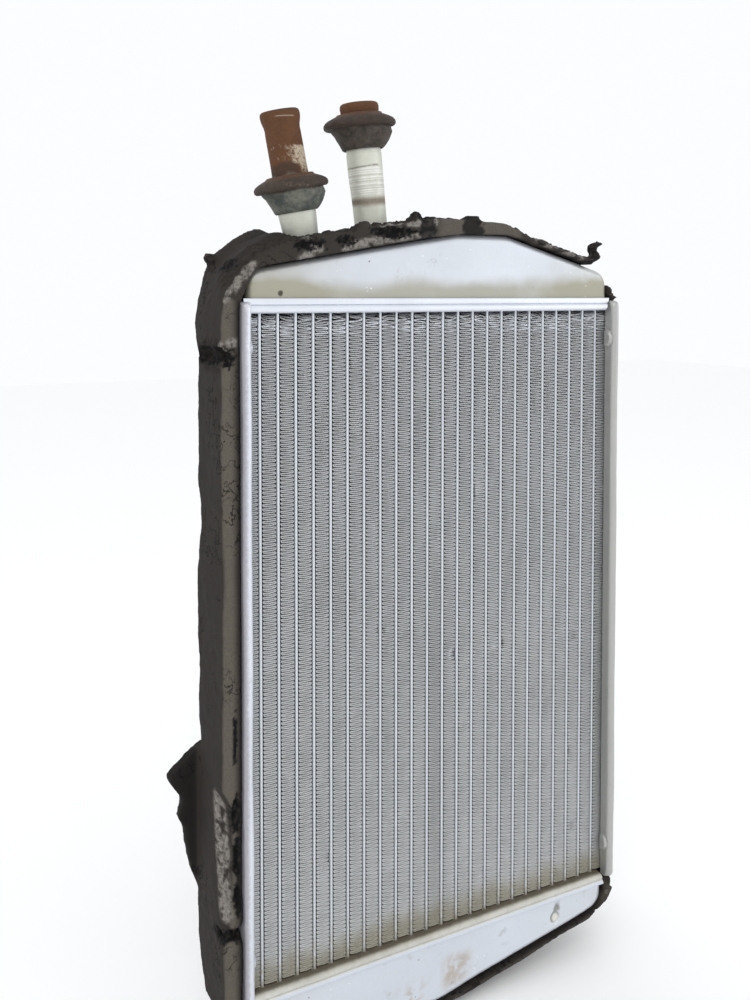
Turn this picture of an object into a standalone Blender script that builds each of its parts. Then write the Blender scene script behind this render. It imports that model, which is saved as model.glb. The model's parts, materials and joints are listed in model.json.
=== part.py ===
"""Vehicle heater core: a brazed aluminium tube-and-fin block with two stamped tanks, two hose
spigots with rubber grommets, and a foam sealing wrap.  Metres, +Z up, front facing -Y.
The origin is on the flat underside of the foam, at mid-width and mid-depth of the core."""
import math

import bmesh
import bpy
from mathutils import Matrix, Vector

# Clearance between pieces that touch on the real object.
GAP = 0.0003

# The block of tubes and fins.
TUBE_COUNT = 23
TUBE_PITCH = 0.0094
TUBE_THICK = 0.0016
TUBE_WALL = 0.00035
TUBE_PAST_HEADER = 0.0015
CORE_HEIGHT = 0.330
CORE_DEPTH = 0.034
CORE_HALF = (TUBE_COUNT + 1) * TUBE_PITCH / 2
FIN_SHEET = 0.0007
FIN_FOLDS = 12

# Headers: flat trays with a rim along the front and the back.
HEADER_HEIGHT = 0.0072
HEADER_PROUD = 0.0042
HEADER_FLOOR = 0.0020
HEADER_HALF = 0.1096
HEADER_END = 0.0018

# Tanks: a sloping roof that rises to a crest on one side of the middle.
TANK_HALF = 0.1105
TANK_SIDE = 0.0136
TANK_PEAK = 0.0340
TANK_WALL = 0.0018
TANK_PROUD = 0.0015
TANK_CREST_END = 0.040
UPPER_CREST_START = 0.008
LOWER_CREST_START = 0.002
TANK_SKIRT = HEADER_HEIGHT - HEADER_FLOOR - GAP
SHOULDER_RADIUS = 0.009
CREST_RADIUS = 0.030
TANK_EDGE = 0.0035

# Side plates: a web with a rounded bead along each edge.
PLATE_SHEET = 0.0013
BEAD_RADIUS = 0.0025
BEAD_PROUD = 0.0074
BEAD_OVER_FINS = 0.0029
PLATE_BELOW = 0.0021
PLATE_ABOVE = 0.0056
TAB_RADIUS = 0.0052
TAB_PROUD = 0.0009
TAB_FROM_TOP = 0.0160
TAB_FROM_BOTTOM = 0.0176

# Hose spigots.
PIPE_RADIUS = 0.0090
PIPE_WALL = 0.0012
PIPE_RISE = 0.074
PIPE_IN_TANK = 0.004
BEAD_LENGTH = 0.0094
PIPE_BEAD_RADIUS = 0.0102
BEAD_RAMP = 0.0018
BEAD_NOSE = 0.0024
INLET_X = -0.0720
OUTLET_X = -0.0330
INLET_LEAN = math.radians(10.9)
OUTLET_LEAN = math.radians(6.6)

# Rubber grommets, and how far below the open end of its pipe each flange sits.
FLANGE_RADIUS = 0.0188
FLANGE_THICK = 0.0030
FLANGE_ROUND = 0.0008
SHOULDER = 0.0160
SHOULDER_DROP = 0.0032
BEAD_SEAT = 0.0014
SLEEVE_LIP = 0.0010
SLEEVE_SWELL = 0.0044
SLEEVE_BEND = 0.0075
HUB_HEIGHT = 0.0060
CONE_HEIGHT = 0.0128
INLET_GROMMET_DROP = 0.0378
OUTLET_GROMMET_DROP = 0.0111

# Foam wrap.
FOAM_THICK = 0.0087
FOAM_THIN = 0.0060
FOAM_FRONT = -0.0212
FOAM_BACK = 0.0200
FOAM_RIGHT_FRONT = -0.0130
FOAM_HOLE = 0.0125
FOAM_CREST_START = -0.012
FOAM_CORNER = 0.006
FLAP_FRONT = 0.0120
FLAP_BACK = 0.0275
FLAP_REACH = 0.0150
FLAP_LOW = 0.036
FLAP_HIGH = 0.112
FLAP_NOTCH = 0.004

# The wall inside the upper tank stands between the sixth and the seventh tube.
BAFFLE_SPACES = 6.5
BAFFLE_THICK = 0.0012

ROUND_SEGMENTS = 20

CORE_BOTTOM = FOAM_THIN + GAP + TANK_PEAK + HEADER_HEIGHT
CORE_TOP = CORE_BOTTOM + CORE_HEIGHT
HEADER_TOP = CORE_TOP + HEADER_HEIGHT
HEADER_LOW = CORE_BOTTOM - HEADER_HEIGHT
HALF_DEPTH = CORE_DEPTH / 2
TANK_FACE = HALF_DEPTH + TANK_PROUD
WEB_INNER = CORE_HALF + BEAD_RADIUS * 2 - BEAD_OVER_FINS - PLATE_SHEET
WEB_OUTER = WEB_INNER + PLATE_SHEET
FOAM_INNER = WEB_OUTER + GAP
FOAM_OUTER = FOAM_INNER + FOAM_THICK


# ---------------------------------------------------------------- helpers
def clear_scene():
    for item in list(bpy.data.objects):
        bpy.data.objects.remove(item, do_unlink=True)


def finish(name, colour, roughness, metallic):
    material = bpy.data.materials.new(name)
    material.use_nodes = True
    shader = material.node_tree.nodes["Principled BSDF"]
    shader.inputs["Base Color"].default_value = (*colour, 1.0)
    shader.inputs["Roughness"].default_value = roughness
    shader.inputs["Metallic"].default_value = metallic
    return material


def add_object(name, bm, material, smooth_angle=None):
    bmesh.ops.recalc_face_normals(bm, faces=bm.faces)
    if bm.calc_volume(signed=True) < 0:
        bmesh.ops.reverse_faces(bm, faces=bm.faces)
    mesh = bpy.data.meshes.new(name)
    bm.to_mesh(mesh)
    bm.free()
    if smooth_angle is not None:
        mesh.shade_smooth()
        mesh.set_sharp_from_angle(angle=math.radians(smooth_angle))
    mesh.materials.append(material)
    item = bpy.data.objects.new(name, mesh)
    bpy.context.scene.collection.objects.link(item)
    return item


def prism(points, low, high, place):
    """Extrudes a flat outline; place turns (a, b, depth) into a point."""
    bm = bmesh.new()
    ring = [bm.verts.new(place(a, b, low)) for a, b in points]
    face = bm.faces.new(ring)
    made = bmesh.ops.extrude_face_region(bm, geom=[face])["geom"]
    moved = [v for v in made if isinstance(v, bmesh.types.BMVert)]
    shift = Vector(place(0, 0, high)) - Vector(place(0, 0, low))
    bmesh.ops.translate(bm, verts=moved, vec=shift)
    return bm


def front_view(x, z, depth):
    return (x, depth, z)


def plan_view(x, y, height):
    return (x, y, height)


def round_corners(corners, steps=4):
    """corners holds (x, z, radius); a radius above zero becomes an arc of that radius."""
    points = []
    count = len(corners)
    for i, (x, z, radius) in enumerate(corners):
        here = Vector((x, z))
        if radius <= 0:
            points.append((x, z))
            continue
        before = Vector(corners[i - 1][:2]) - here
        after = Vector(corners[(i + 1) % count][:2]) - here
        half = before.angle(after) / 2
        back = radius / math.tan(half)
        centre = here + (before.normalized() + after.normalized()).normalized() * (radius / math.sin(half))
        start = here + before.normalized() * back - centre
        end = here + after.normalized() * back - centre
        turn = start.angle_signed(end)
        for step in range(steps + 1):
            points.append(tuple(centre + Matrix.Rotation(-turn * step / steps, 2) @ start))
    return points


def boolean(item, cutter, operation):
    """Keeps the second object as a hidden wire guide of a Boolean modifier."""
    cutter.hide_render = True
    cutter.display_type = "WIRE"
    modifier = item.modifiers.new(cutter.name, "BOOLEAN")
    modifier.operation = operation
    modifier.solver = "EXACT"
    modifier.object = cutter


def turned(name, profile, material, centre, lean, smooth_angle=40):
    """Spins a closed (radius, height) profile about an axis that leans towards -X."""
    bm = bmesh.new()
    ring = [bm.verts.new((radius, 0, height)) for radius, height in profile]
    edges = [bm.edges.new((ring[i - 1], ring[i])) for i in range(len(ring))]
    bmesh.ops.spin(bm, geom=ring + edges, cent=(0, 0, 0), axis=(0, 0, 1), angle=math.tau,
                   steps=ROUND_SEGMENTS, use_merge=True)
    bmesh.ops.remove_doubles(bm, verts=bm.verts, dist=1e-6)
    item = add_object(name, bm, material, smooth_angle)
    item.location = centre
    item.rotation_euler = (0, -lean, 0)
    return item


# ---------------------------------------------------------------- outlines
def tank_corners(crest_start, grow=0.0):
    """The tank seen from the front, above its header; grow moves the outline outwards."""
    half = TANK_HALF + grow
    side = TANK_SIDE + grow
    peak = TANK_PEAK + grow
    return [(-half, 0, 0), (-half, side, SHOULDER_RADIUS + grow), (crest_start, peak, CREST_RADIUS + grow),
            (TANK_CREST_END, peak, CREST_RADIUS + grow), (half, side, SHOULDER_RADIUS + grow), (half, 0, 0)]


def roof_height(x):
    """Height of the upper tank's rising roof above its header at x."""
    return TANK_SIDE + (x + TANK_HALF) * (TANK_PEAK - TANK_SIDE) / (UPPER_CREST_START + TANK_HALF)


def plate_profile():
    """The left side plate's section in plan: a web and two beads, as one bent sheet."""
    outer = BEAD_RADIUS
    inner = BEAD_RADIUS - PLATE_SHEET
    bead_x = -WEB_OUTER + BEAD_RADIUS
    bead_y = HALF_DEPTH + BEAD_PROUD - BEAD_RADIUS
    lip_y = HALF_DEPTH + GAP
    steps = 6

    def half_turn(radius, sign):
        return [(bead_x + sign * radius * math.cos(math.pi * i / steps),
                 sign * (bead_y + radius * math.sin(math.pi * i / steps))) for i in range(steps + 1)]

    outside = [(bead_x + outer, -lip_y)]
    outside += [(x, y) for x, y in reversed(half_turn(outer, -1))]
    outside += [(x, -y) for x, y in half_turn(outer, -1)]
    outside += [(bead_x + outer, lip_y)]
    inside = [(bead_x + inner, lip_y)]
    inside += [(x, -y) for x, y in reversed(half_turn(inner, -1))]
    inside += [(x, y) for x, y in half_turn(inner, -1)]
    inside += [(bead_x + inner, -lip_y)]
    return outside + inside


# ---------------------------------------------------------------- pieces
def make_tubes(material):
    half = TUBE_THICK / 2
    straight = HALF_DEPTH - GAP - half
    steps = 4

    def racetrack(radius):
        ends = []
        for turn, middle in ((0, straight), (math.pi, -straight)):
            angles = [turn + math.pi * i / steps for i in range(steps + 1)]
            ends += [(radius * math.cos(a), middle + radius * math.sin(a)) for a in angles]
        return ends

    low = CORE_BOTTOM - HEADER_FLOOR - TUBE_PAST_HEADER
    high = CORE_TOP + HEADER_FLOOR + TUBE_PAST_HEADER
    bm = bmesh.new()
    rings = []
    for radius in (half, half - TUBE_WALL):
        for z in (low, high):
            rings.append([bm.verts.new((x, y, z)) for x, y in racetrack(radius)])
    outer_low, outer_high, inner_low, inner_high = rings
    walls = ((outer_low, outer_high), (outer_high, inner_high),
             (inner_high, inner_low), (inner_low, outer_low))
    for a, b in walls:
        for i in range(len(a)):
            bm.faces.new((a[i - 1], a[i], b[i], b[i - 1]))
    first = add_object("tube_01", bm, material, 50)
    first.location.x = TUBE_PITCH - CORE_HALF
    for number in range(2, TUBE_COUNT + 1):
        item = bpy.data.objects.new(f"tube_{number:02d}", first.data)
        item.location.x = number * TUBE_PITCH - CORE_HALF
        bpy.context.scene.collection.objects.link(item)


def fin_mesh(width):
    """One folded strip between two tubes; the folds run from side to side all the way up."""
    bottom = CORE_BOTTOM + GAP
    depth = HALF_DEPTH - GAP
    step = (CORE_HEIGHT - 2 * GAP) / (2 * FIN_FOLDS)
    half = FIN_SHEET / 2 * math.hypot(width, step) / step
    reach = width / 2 - half
    bm = bmesh.new()
    sections = []
    for i in range(2 * FIN_FOLDS + 1):
        x = reach if i % 2 else -reach
        corners = ((-half, -depth), (half, -depth), (half, depth), (-half, depth))
        sections.append([bm.verts.new((x + across, y, bottom + i * step)) for across, y in corners])
    for below, above in zip(sections, sections[1:]):
        for i in range(4):
            bm.faces.new((below[i - 1], below[i], above[i], above[i - 1]))
    bm.faces.new(sections[0])
    bm.faces.new(sections[-1])
    return bm


def make_fins(material):
    inner_width = TUBE_PITCH - TUBE_THICK - 2 * GAP
    shared = None
    for number in range(1, TUBE_COUNT + 2):
        name = f"fin_{number:02d}"
        middle = (number - 0.5) * TUBE_PITCH - CORE_HALF
        if number in (1, TUBE_COUNT + 1):
            tube_side = CORE_HALF - TUBE_PITCH + TUBE_THICK / 2 + GAP
            plate_side = WEB_INNER - GAP
            item = add_object(name, fin_mesh(plate_side - tube_side), material)
            item.location.x = math.copysign((plate_side + tube_side) / 2, middle)
            continue
        if shared is None:
            item = add_object(name, fin_mesh(inner_width), material)
            shared = item.data
        else:
            item = bpy.data.objects.new(name, shared)
            bpy.context.scene.collection.objects.link(item)
        item.location.x = middle


def make_headers(material):
    """Both trays share one shape; the lower one is the upper one turned over."""
    end = WEB_INNER - GAP
    front = HALF_DEPTH + HEADER_PROUD
    side = HALF_DEPTH
    rim = TANK_FACE + GAP

    def tee(long_half, short_half, wide, narrow):
        quarter = [(long_half, narrow), (short_half, narrow), (short_half, wide)]
        top = quarter + [(-x, y) for x, y in reversed(quarter)]
        return top + [(-x, -y) for x, y in top]

    def slots():
        bm = bmesh.new()
        size = (TUBE_THICK + 2 * GAP, CORE_DEPTH, 4 * HEADER_FLOOR)
        for number in range(1, TUBE_COUNT + 1):
            spot = Matrix.Translation((number * TUBE_PITCH - CORE_HALF, 0, 0)) @ Matrix.Diagonal((*size, 1))
            bmesh.ops.create_cube(bm, size=1, matrix=spot)
        return bm

    shapes = []
    for name in ("upper_header_plate", "lower_header_plate"):
        block = prism(tee(end, HEADER_HALF, front, side), 0, HEADER_HEIGHT, plan_view)
        tray = add_object(name, block, material)
        inside = tee(end - HEADER_END, HEADER_HALF + GAP, rim, side + 2 * GAP)
        hollow = prism(inside, HEADER_FLOOR, 2 * HEADER_HEIGHT, plan_view)
        pocket = add_object(name + "_pocket", hollow, material)
        cuts = add_object(name + "_slots", slots(), material)
        for cutter in (pocket, cuts):
            cutter.parent = tray
            boolean(tray, cutter, "DIFFERENCE")
        shapes.append(tray)
    upper, lower = shapes
    upper.location.z = CORE_TOP
    lower.location.z = CORE_BOTTOM
    lower.rotation_euler = (0, math.pi, 0)


def make_tank(name, material, crest_start):
    """A stamped shell, open where its skirt stands in its header, with rounded front and back edges."""
    corners = tank_corners(crest_start)
    corners[0] = (-TANK_HALF, -TANK_SKIRT, 0)
    corners[-1] = (TANK_HALF, -TANK_SKIRT, 0)
    bm = prism(round_corners(corners), -TANK_FACE, TANK_FACE, front_view)
    bottom = 1e-6 - TANK_SKIRT
    rims = [e for e in bm.edges
            if abs(e.verts[0].co.y - e.verts[1].co.y) < 1e-6 and max(v.co.z for v in e.verts) > bottom]
    bmesh.ops.bevel(bm, geom=rims, offset=TANK_EDGE, segments=2, profile=0.5, affect="EDGES")
    floor = [f for f in bm.faces if max(v.co.z for v in f.verts) < bottom]
    bmesh.ops.delete(bm, geom=floor, context="FACES")
    tank = add_object(name, bm, material, 35)
    shell = tank.modifiers.new("wall", "SOLIDIFY")
    shell.thickness = TANK_WALL
    shell.offset = -1
    shell.use_even_offset = True
    return tank


def pipe_frame(x, lean):
    """The pipe's open end, which its profile and its grommet are measured from."""
    root = Vector((x, 0, HEADER_TOP + roof_height(x)))
    return root + PIPE_RISE * Vector((-math.sin(lean), 0, math.cos(lean)))


def make_pipe(name, material, x, lean):
    bottom = -PIPE_RISE - TANK_WALL - PIPE_IN_TANK
    bore = PIPE_RADIUS - PIPE_WALL
    crown = PIPE_BEAD_RADIUS
    nose = BEAD_NOSE / 4
    profile = [(bore, bottom), (PIPE_RADIUS, bottom), (PIPE_RADIUS, -BEAD_LENGTH),
               (crown, BEAD_RAMP - BEAD_LENGTH), (crown, -BEAD_NOSE), (crown - nose, -nose),
               (crown - 2 * nose, 0), (bore, 0)]
    return turned(name, profile, material, pipe_frame(x, lean), lean)


def make_grommet(name, material, x, lean, drop):
    """A flange with a low hub above it and a tapering sleeve below; the bead fits in the hub."""
    bore = PIPE_RADIUS + GAP
    counterbore = PIPE_BEAD_RADIUS + GAP
    half = FLANGE_THICK / 2
    edge = FLANGE_ROUND
    profile = [(bore, -CONE_HEIGHT), (bore + SLEEVE_LIP, -CONE_HEIGHT), (bore + SLEEVE_SWELL, -SLEEVE_BEND),
               (SHOULDER, -SHOULDER_DROP), (SHOULDER + edge, -half), (FLANGE_RADIUS - edge, -half),
               (FLANGE_RADIUS, edge - half), (FLANGE_RADIUS, half - edge), (FLANGE_RADIUS - edge, half),
               (SHOULDER, half + edge / 2), (counterbore + 2 * edge, HUB_HEIGHT - edge),
               (counterbore + edge, HUB_HEIGHT), (counterbore, HUB_HEIGHT), (counterbore, BEAD_SEAT),
               (bore, BEAD_SEAT)]
    axis = Vector((-math.sin(lean), 0, math.cos(lean)))
    return turned(name, profile, material, pipe_frame(x, lean) - drop * axis, lean)


def cut_for_pipe(item, x, lean, radius, material):
    """Removes the round hole that a pipe passes through."""
    bm = bmesh.new()
    bmesh.ops.create_cone(bm, cap_ends=True, segments=ROUND_SEGMENTS, radius1=radius, radius2=radius,
                          depth=PIPE_RISE)
    cutter = add_object(f"{item.name}_hole_{abs(round(x * 1000))}", bm, material)
    cutter.location = (x, 0, HEADER_TOP + roof_height(x))
    cutter.rotation_euler = (0, -lean, 0)
    boolean(item, cutter, "DIFFERENCE")


def make_baffle(material):
    """Divides the upper tank between the two spigots, midway between two tubes."""
    x = BAFFLE_SPACES * TUBE_PITCH - CORE_HALF
    half = TANK_FACE - TANK_WALL - GAP
    low = CORE_TOP + HEADER_FLOOR + GAP
    high = HEADER_TOP + roof_height(x) - TANK_WALL - 3 * GAP
    chamfer = TANK_EDGE
    points = [(-half, low), (half, low), (half, high - chamfer), (half - chamfer, high),
              (chamfer - half, high), (-half, high - chamfer)]
    bm = prism(points, x - BAFFLE_THICK / 2, x + BAFFLE_THICK / 2, lambda y, z, depth: (depth, y, z))
    return add_object("upper_tank_baffle", bm, material)


def make_side_plates(material):
    """The right plate is the left one turned half a turn about the vertical."""
    low = CORE_BOTTOM - PLATE_BELOW
    high = CORE_TOP + PLATE_ABOVE

    def half_moon(bm, y, z):
        """A pressed half disc on the bead's inner face."""
        side = math.copysign(1, y)
        steps = 8
        arc = [math.pi * i / steps for i in range(steps + 1)]
        start = -WEB_OUTER + 2 * BEAD_RADIUS - PLATE_SHEET / 2
        stop = -WEB_OUTER + 2 * BEAD_RADIUS + TAB_PROUD
        ring = [bm.verts.new((start, y - side * TAB_RADIUS * math.sin(a), z + TAB_RADIUS * math.cos(a)))
                for a in arc]
        made = bmesh.ops.extrude_face_region(bm, geom=[bm.faces.new(ring)])["geom"]
        moved = [v for v in made if isinstance(v, bmesh.types.BMVert)]
        bmesh.ops.translate(bm, verts=moved, vec=(stop - start, 0, 0))

    for name, turn in (("left_side_plate", 0), ("right_side_plate", math.pi)):
        plate = add_object(name, prism(plate_profile(), low, high, plan_view), material, 40)
        bm = bmesh.new()
        tab_y = HALF_DEPTH + TAB_RADIUS + 2 * GAP
        for y in (-tab_y, tab_y):
            half_moon(bm, y, CORE_TOP - TAB_FROM_TOP)
            half_moon(bm, y, CORE_BOTTOM + TAB_FROM_BOTTOM)
        tabs = add_object(name + "_tabs", bm, material)
        tabs.parent = plate
        boolean(plate, tabs, "UNION")
        plate.rotation_euler = (0, 0, turn)


def foam_left_top(material):
    """Foam up the left side, round the shoulder and over the roof, with a torn flap low down."""
    inner = round_corners(tank_corners(UPPER_CREST_START, GAP))
    outer = round_corners(tank_corners(UPPER_CREST_START, FOAM_THICK + GAP))
    low = HEADER_LOW - FOAM_CORNER + GAP
    right = TANK_HALF + FOAM_THIN
    under = [(-FOAM_INNER, low), (-FOAM_INNER, HEADER_TOP)]
    under += [(x, z + HEADER_TOP) for x, z in inner[1:-1]]
    under += [(TANK_HALF + GAP, HEADER_TOP + GAP)]
    over = [(-FOAM_OUTER, low), (-FOAM_OUTER, HEADER_TOP + FOAM_CORNER)]
    over += [(x, z + HEADER_TOP) for x, z in outer[1:-1] if x < right]
    over += [(right, HEADER_TOP + 2 * FOAM_CORNER), (right, HEADER_TOP + GAP)]
    block = prism(under + over[::-1], FOAM_FRONT, FOAM_BACK, front_view)
    foam = add_object("foam_wrap_left_top", block, material)
    cut_for_pipe(foam, INLET_X, INLET_LEAN, FOAM_HOLE, material)
    cut_for_pipe(foam, OUTLET_X, OUTLET_LEAN, FOAM_HOLE, material)
    tip = -FOAM_OUTER - FLAP_REACH
    root = -FOAM_OUTER + FOAM_THICK / 2
    height = FLAP_HIGH - FLAP_LOW
    torn = [(root, FLAP_HIGH), (tip, FLAP_HIGH - 0.2 * height), (tip + FLAP_NOTCH, FLAP_LOW + 0.45 * height),
            (root, FLAP_LOW)]
    base = CORE_BOTTOM
    flap = prism([(x, z + base) for x, z in torn], FLAP_FRONT, FLAP_BACK, front_view)
    guide = add_object("foam_flap", flap, material)
    boolean(foam, guide, "UNION")


def foam_right_bottom(material):
    """Foam under the lower tank and up the right side, set back behind the right side plate."""
    def turned_over(points):
        return [(-x, HEADER_LOW - z) for x, z in reversed(points)]

    left_end = HEADER_LOW - FOAM_CORNER
    near = turned_over(round_corners(tank_corners(LOWER_CREST_START, GAP)))
    far = turned_over(round_corners(tank_corners(FOAM_CREST_START, FOAM_THIN + GAP)))
    under = [(-TANK_HALF - GAP, left_end)] + near[1:-1]
    under += [(FOAM_INNER, HEADER_LOW), (FOAM_INNER, CORE_TOP)]
    over = [(-TANK_HALF - GAP - FOAM_THIN, left_end)] + far[1:-1]
    over += [(FOAM_OUTER, HEADER_LOW - FOAM_CORNER), (FOAM_OUTER, CORE_TOP)]
    block = prism(under + over[::-1], FOAM_FRONT, FOAM_BACK, front_view)
    foam = add_object("foam_wrap_right_bottom", block, material)
    low = CORE_BOTTOM - PLATE_BELOW
    size = Vector((2 * FOAM_THICK, 2 * (FOAM_RIGHT_FRONT - FOAM_FRONT), CORE_HEIGHT + 2 * HEADER_HEIGHT))
    middle = Vector((FOAM_OUTER, FOAM_FRONT, low + size.z / 2))
    bm = bmesh.new()
    bmesh.ops.create_cube(bm, size=1, matrix=Matrix.Translation(middle) @ Matrix.Diagonal((*size, 1)))
    boolean(foam, add_object("foam_setback", bm, material), "DIFFERENCE")


def main():
    clear_scene()
    tube_metal = finish("tube_aluminium", (0.66, 0.69, 0.73), 0.35, 1.0)
    fin_metal = finish("fin_aluminium", (0.42, 0.44, 0.46), 0.45, 1.0)
    header_metal = finish("header_aluminium", (0.76, 0.78, 0.82), 0.30, 1.0)
    tank_metal = finish("tank_aluminium", (0.66, 0.68, 0.70), 0.42, 1.0)
    plate_metal = finish("plate_aluminium", (0.56, 0.56, 0.55), 0.45, 1.0)
    pipe_metal = finish("pipe_aluminium", (0.58, 0.58, 0.52), 0.50, 0.9)
    rubber = finish("grommet_rubber", (0.055, 0.050, 0.045), 0.75, 0.0)
    foam = finish("wrap_foam", (0.030, 0.028, 0.026), 0.95, 0.0)

    make_tubes(tube_metal)
    make_fins(fin_metal)
    make_headers(header_metal)
    upper = make_tank("upper_tank", tank_metal, UPPER_CREST_START)
    upper.location.z = HEADER_TOP
    lower = make_tank("lower_tank", tank_metal, LOWER_CREST_START)
    lower.location.z = HEADER_LOW
    lower.rotation_euler = (0, math.pi, 0)
    make_baffle(tank_metal)
    make_side_plates(plate_metal)
    for name, x, lean in (("inlet_pipe", INLET_X, INLET_LEAN), ("outlet_pipe", OUTLET_X, OUTLET_LEAN)):
        make_pipe(name, pipe_metal, x, lean)
        cut_for_pipe(upper, x, lean, PIPE_RADIUS + GAP, tank_metal)
    make_grommet("inlet_grommet", rubber, INLET_X, INLET_LEAN, INLET_GROMMET_DROP)
    make_grommet("outlet_grommet", rubber, OUTLET_X, OUTLET_LEAN, OUTLET_GROMMET_DROP)
    foam_left_top(foam)
    foam_right_bottom(foam)


main()
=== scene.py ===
import json
import math

import bmesh
import bpy
import numpy as np
from mathutils import Matrix, Vector, noise


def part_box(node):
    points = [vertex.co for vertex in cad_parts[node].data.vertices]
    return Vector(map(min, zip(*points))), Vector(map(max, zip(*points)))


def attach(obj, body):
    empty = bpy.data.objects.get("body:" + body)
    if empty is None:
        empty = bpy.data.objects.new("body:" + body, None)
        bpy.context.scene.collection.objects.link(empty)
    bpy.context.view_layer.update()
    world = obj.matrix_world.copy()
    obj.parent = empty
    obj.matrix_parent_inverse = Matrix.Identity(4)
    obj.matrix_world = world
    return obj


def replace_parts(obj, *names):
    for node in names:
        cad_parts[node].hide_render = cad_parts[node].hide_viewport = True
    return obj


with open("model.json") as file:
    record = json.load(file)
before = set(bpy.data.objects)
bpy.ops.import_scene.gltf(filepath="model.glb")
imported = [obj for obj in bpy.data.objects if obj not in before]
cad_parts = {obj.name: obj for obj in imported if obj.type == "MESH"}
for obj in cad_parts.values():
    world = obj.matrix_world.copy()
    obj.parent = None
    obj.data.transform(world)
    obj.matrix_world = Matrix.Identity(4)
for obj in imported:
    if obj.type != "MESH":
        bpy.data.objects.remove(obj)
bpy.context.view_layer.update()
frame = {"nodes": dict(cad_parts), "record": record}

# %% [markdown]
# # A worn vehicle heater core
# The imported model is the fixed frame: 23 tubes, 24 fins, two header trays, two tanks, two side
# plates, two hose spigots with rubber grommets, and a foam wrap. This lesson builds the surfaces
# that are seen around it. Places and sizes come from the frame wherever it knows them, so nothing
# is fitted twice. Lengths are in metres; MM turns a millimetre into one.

MM = 0.001
upper_tray_low, upper_tray_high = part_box("upper_header_plate")
lower_tray_low, lower_tray_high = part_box("lower_header_plate")
CORE_TOP = upper_tray_low.z
CORE_BOTTOM = lower_tray_high.z
TRAY_HEIGHT = upper_tray_high.z - upper_tray_low.z
TRAY_FRONT = -upper_tray_low.y
FIN_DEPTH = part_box("fin_02")[1].y
TANK_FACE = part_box("upper_tank")[1].y
TANK_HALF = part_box("upper_tank")[1].x
TANK_BOTTOM = lower_tray_low.z
TANK_TOP = upper_tray_high.z
print(f"core from {CORE_BOTTOM:.4f} to {CORE_TOP:.4f} m, tank faces at {TANK_FACE:.4f} m")

# %% [markdown]
# ## Writing shader and geometry maths
# A node tree is easier to read as sums than as boxes and links. `Wire` holds one output socket.
# Adding or multiplying wires adds Math nodes, and `node` adds any other node: its settings are
# set first, then the values or links of its sockets.

# %% One class for node maths
class Wire:
    def __init__(self, tree, socket=None):
        self.tree = tree
        self.socket = socket

    def node(self, kind, inputs=None, output=0, **settings):
        made = self.tree.nodes.new(kind)
        for name, value in settings.items():
            setattr(made, name, value)
        for key, value in (inputs or {}).items():
            if isinstance(value, Wire):
                self.tree.links.new(value.socket, made.inputs[key])
            else:
                made.inputs[key].default_value = value
        return Wire(self.tree, made.outputs[output])

    def math(self, operation, *values):
        return self.node("ShaderNodeMath", dict(enumerate(values)), operation=operation)

    def __add__(self, other):
        return self.math("ADD", self, other)

    def __sub__(self, other):
        return self.math("SUBTRACT", self, other)

    def __rsub__(self, other):
        return self.math("SUBTRACT", other, self)

    def __mul__(self, other):
        return self.math("MULTIPLY", self, other)

    def __truediv__(self, other):
        return self.math("DIVIDE", self, other)

    __radd__ = __add__
    __rmul__ = __mul__

    def clamp(self):
        return self.math("MINIMUM", self.math("MAXIMUM", self, 0.0), 1.0)

    def rise(self, low, high):
        """0 below low, 1 above high, smooth between; low may be the larger one."""
        steps = {0: self, 1: low, 2: high, 3: 0.0, 4: 1.0}
        return self.node("ShaderNodeMapRange", steps, interpolation_type="SMOOTHSTEP")

    def band(self, low, high, soft):
        return self.rise(low - soft, low + soft) * self.rise(high + soft, high - soft)

    def dot(self, vector):
        return self.node("ShaderNodeVectorMath", {0: self, 1: vector}, 1, operation="DOT_PRODUCT")

    def scaled(self, vector):
        return self.node("ShaderNodeVectorMath", {0: self, 1: vector}, operation="MULTIPLY")

    def noise(self, scale, detail=3.0, roughness=0.5):
        return self.node("ShaderNodeTexNoise", {"Vector": self, "Scale": scale, "Detail": detail,
                                                "Roughness": roughness})

    def distance(self, vector):
        return self.node("ShaderNodeVectorMath", {0: self, 1: vector}, 1, operation="DISTANCE")

    def cells(self, scale):
        return self.node("ShaderNodeTexVoronoi", {"Vector": self, "Scale": scale})

    def colour(self, first, second):
        """A colour between two, by this wire."""
        rgba = [value if isinstance(value, Wire) else (*value, 1.0) for value in (first, second)]
        return self.node("ShaderNodeMix", {0: self, 6: rgba[0], 7: rgba[1]}, 2, data_type="RGBA")


def paint(name, metallic, **fixed):
    """A new material: its object coordinates, and a function that plugs in the finished wires."""
    material = bpy.data.materials.new(name)
    material.use_nodes = True
    shader = material.node_tree.nodes["Principled BSDF"]
    shader.inputs["Metallic"].default_value = metallic
    for key, value in fixed.items():
        shader.inputs[key.replace("_", " ")].default_value = value
    place = Wire(material.node_tree).node("ShaderNodeTexCoord", output=3)

    def apply(colour, roughness, height=None, depth=0.0002):
        tree = material.node_tree
        tree.links.new(colour.socket, shader.inputs["Base Color"])
        tree.links.new(roughness.socket, shader.inputs["Roughness"])
        if height:
            bump = place.node("ShaderNodeBump", {"Height": height, "Distance": depth, "Strength": 1.0})
            tree.links.new(bump.socket, shader.inputs["Normal"])
        return material

    return place, apply


print("node maths ready")

# %% [markdown]
# ## Meshes
# Most pieces are lofts: rings of points joined by quads. A ring can follow a rule, such as a bead's
# half turn, or a short list where the real edge was torn and follows none. One function joins rings,
# one turns the result into an object with its faces pointing out.

# %% Mesh helpers
def add_object(name, data):
    made = bpy.data.objects.new(name, data)
    bpy.context.scene.collection.objects.link(made)
    return made


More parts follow.
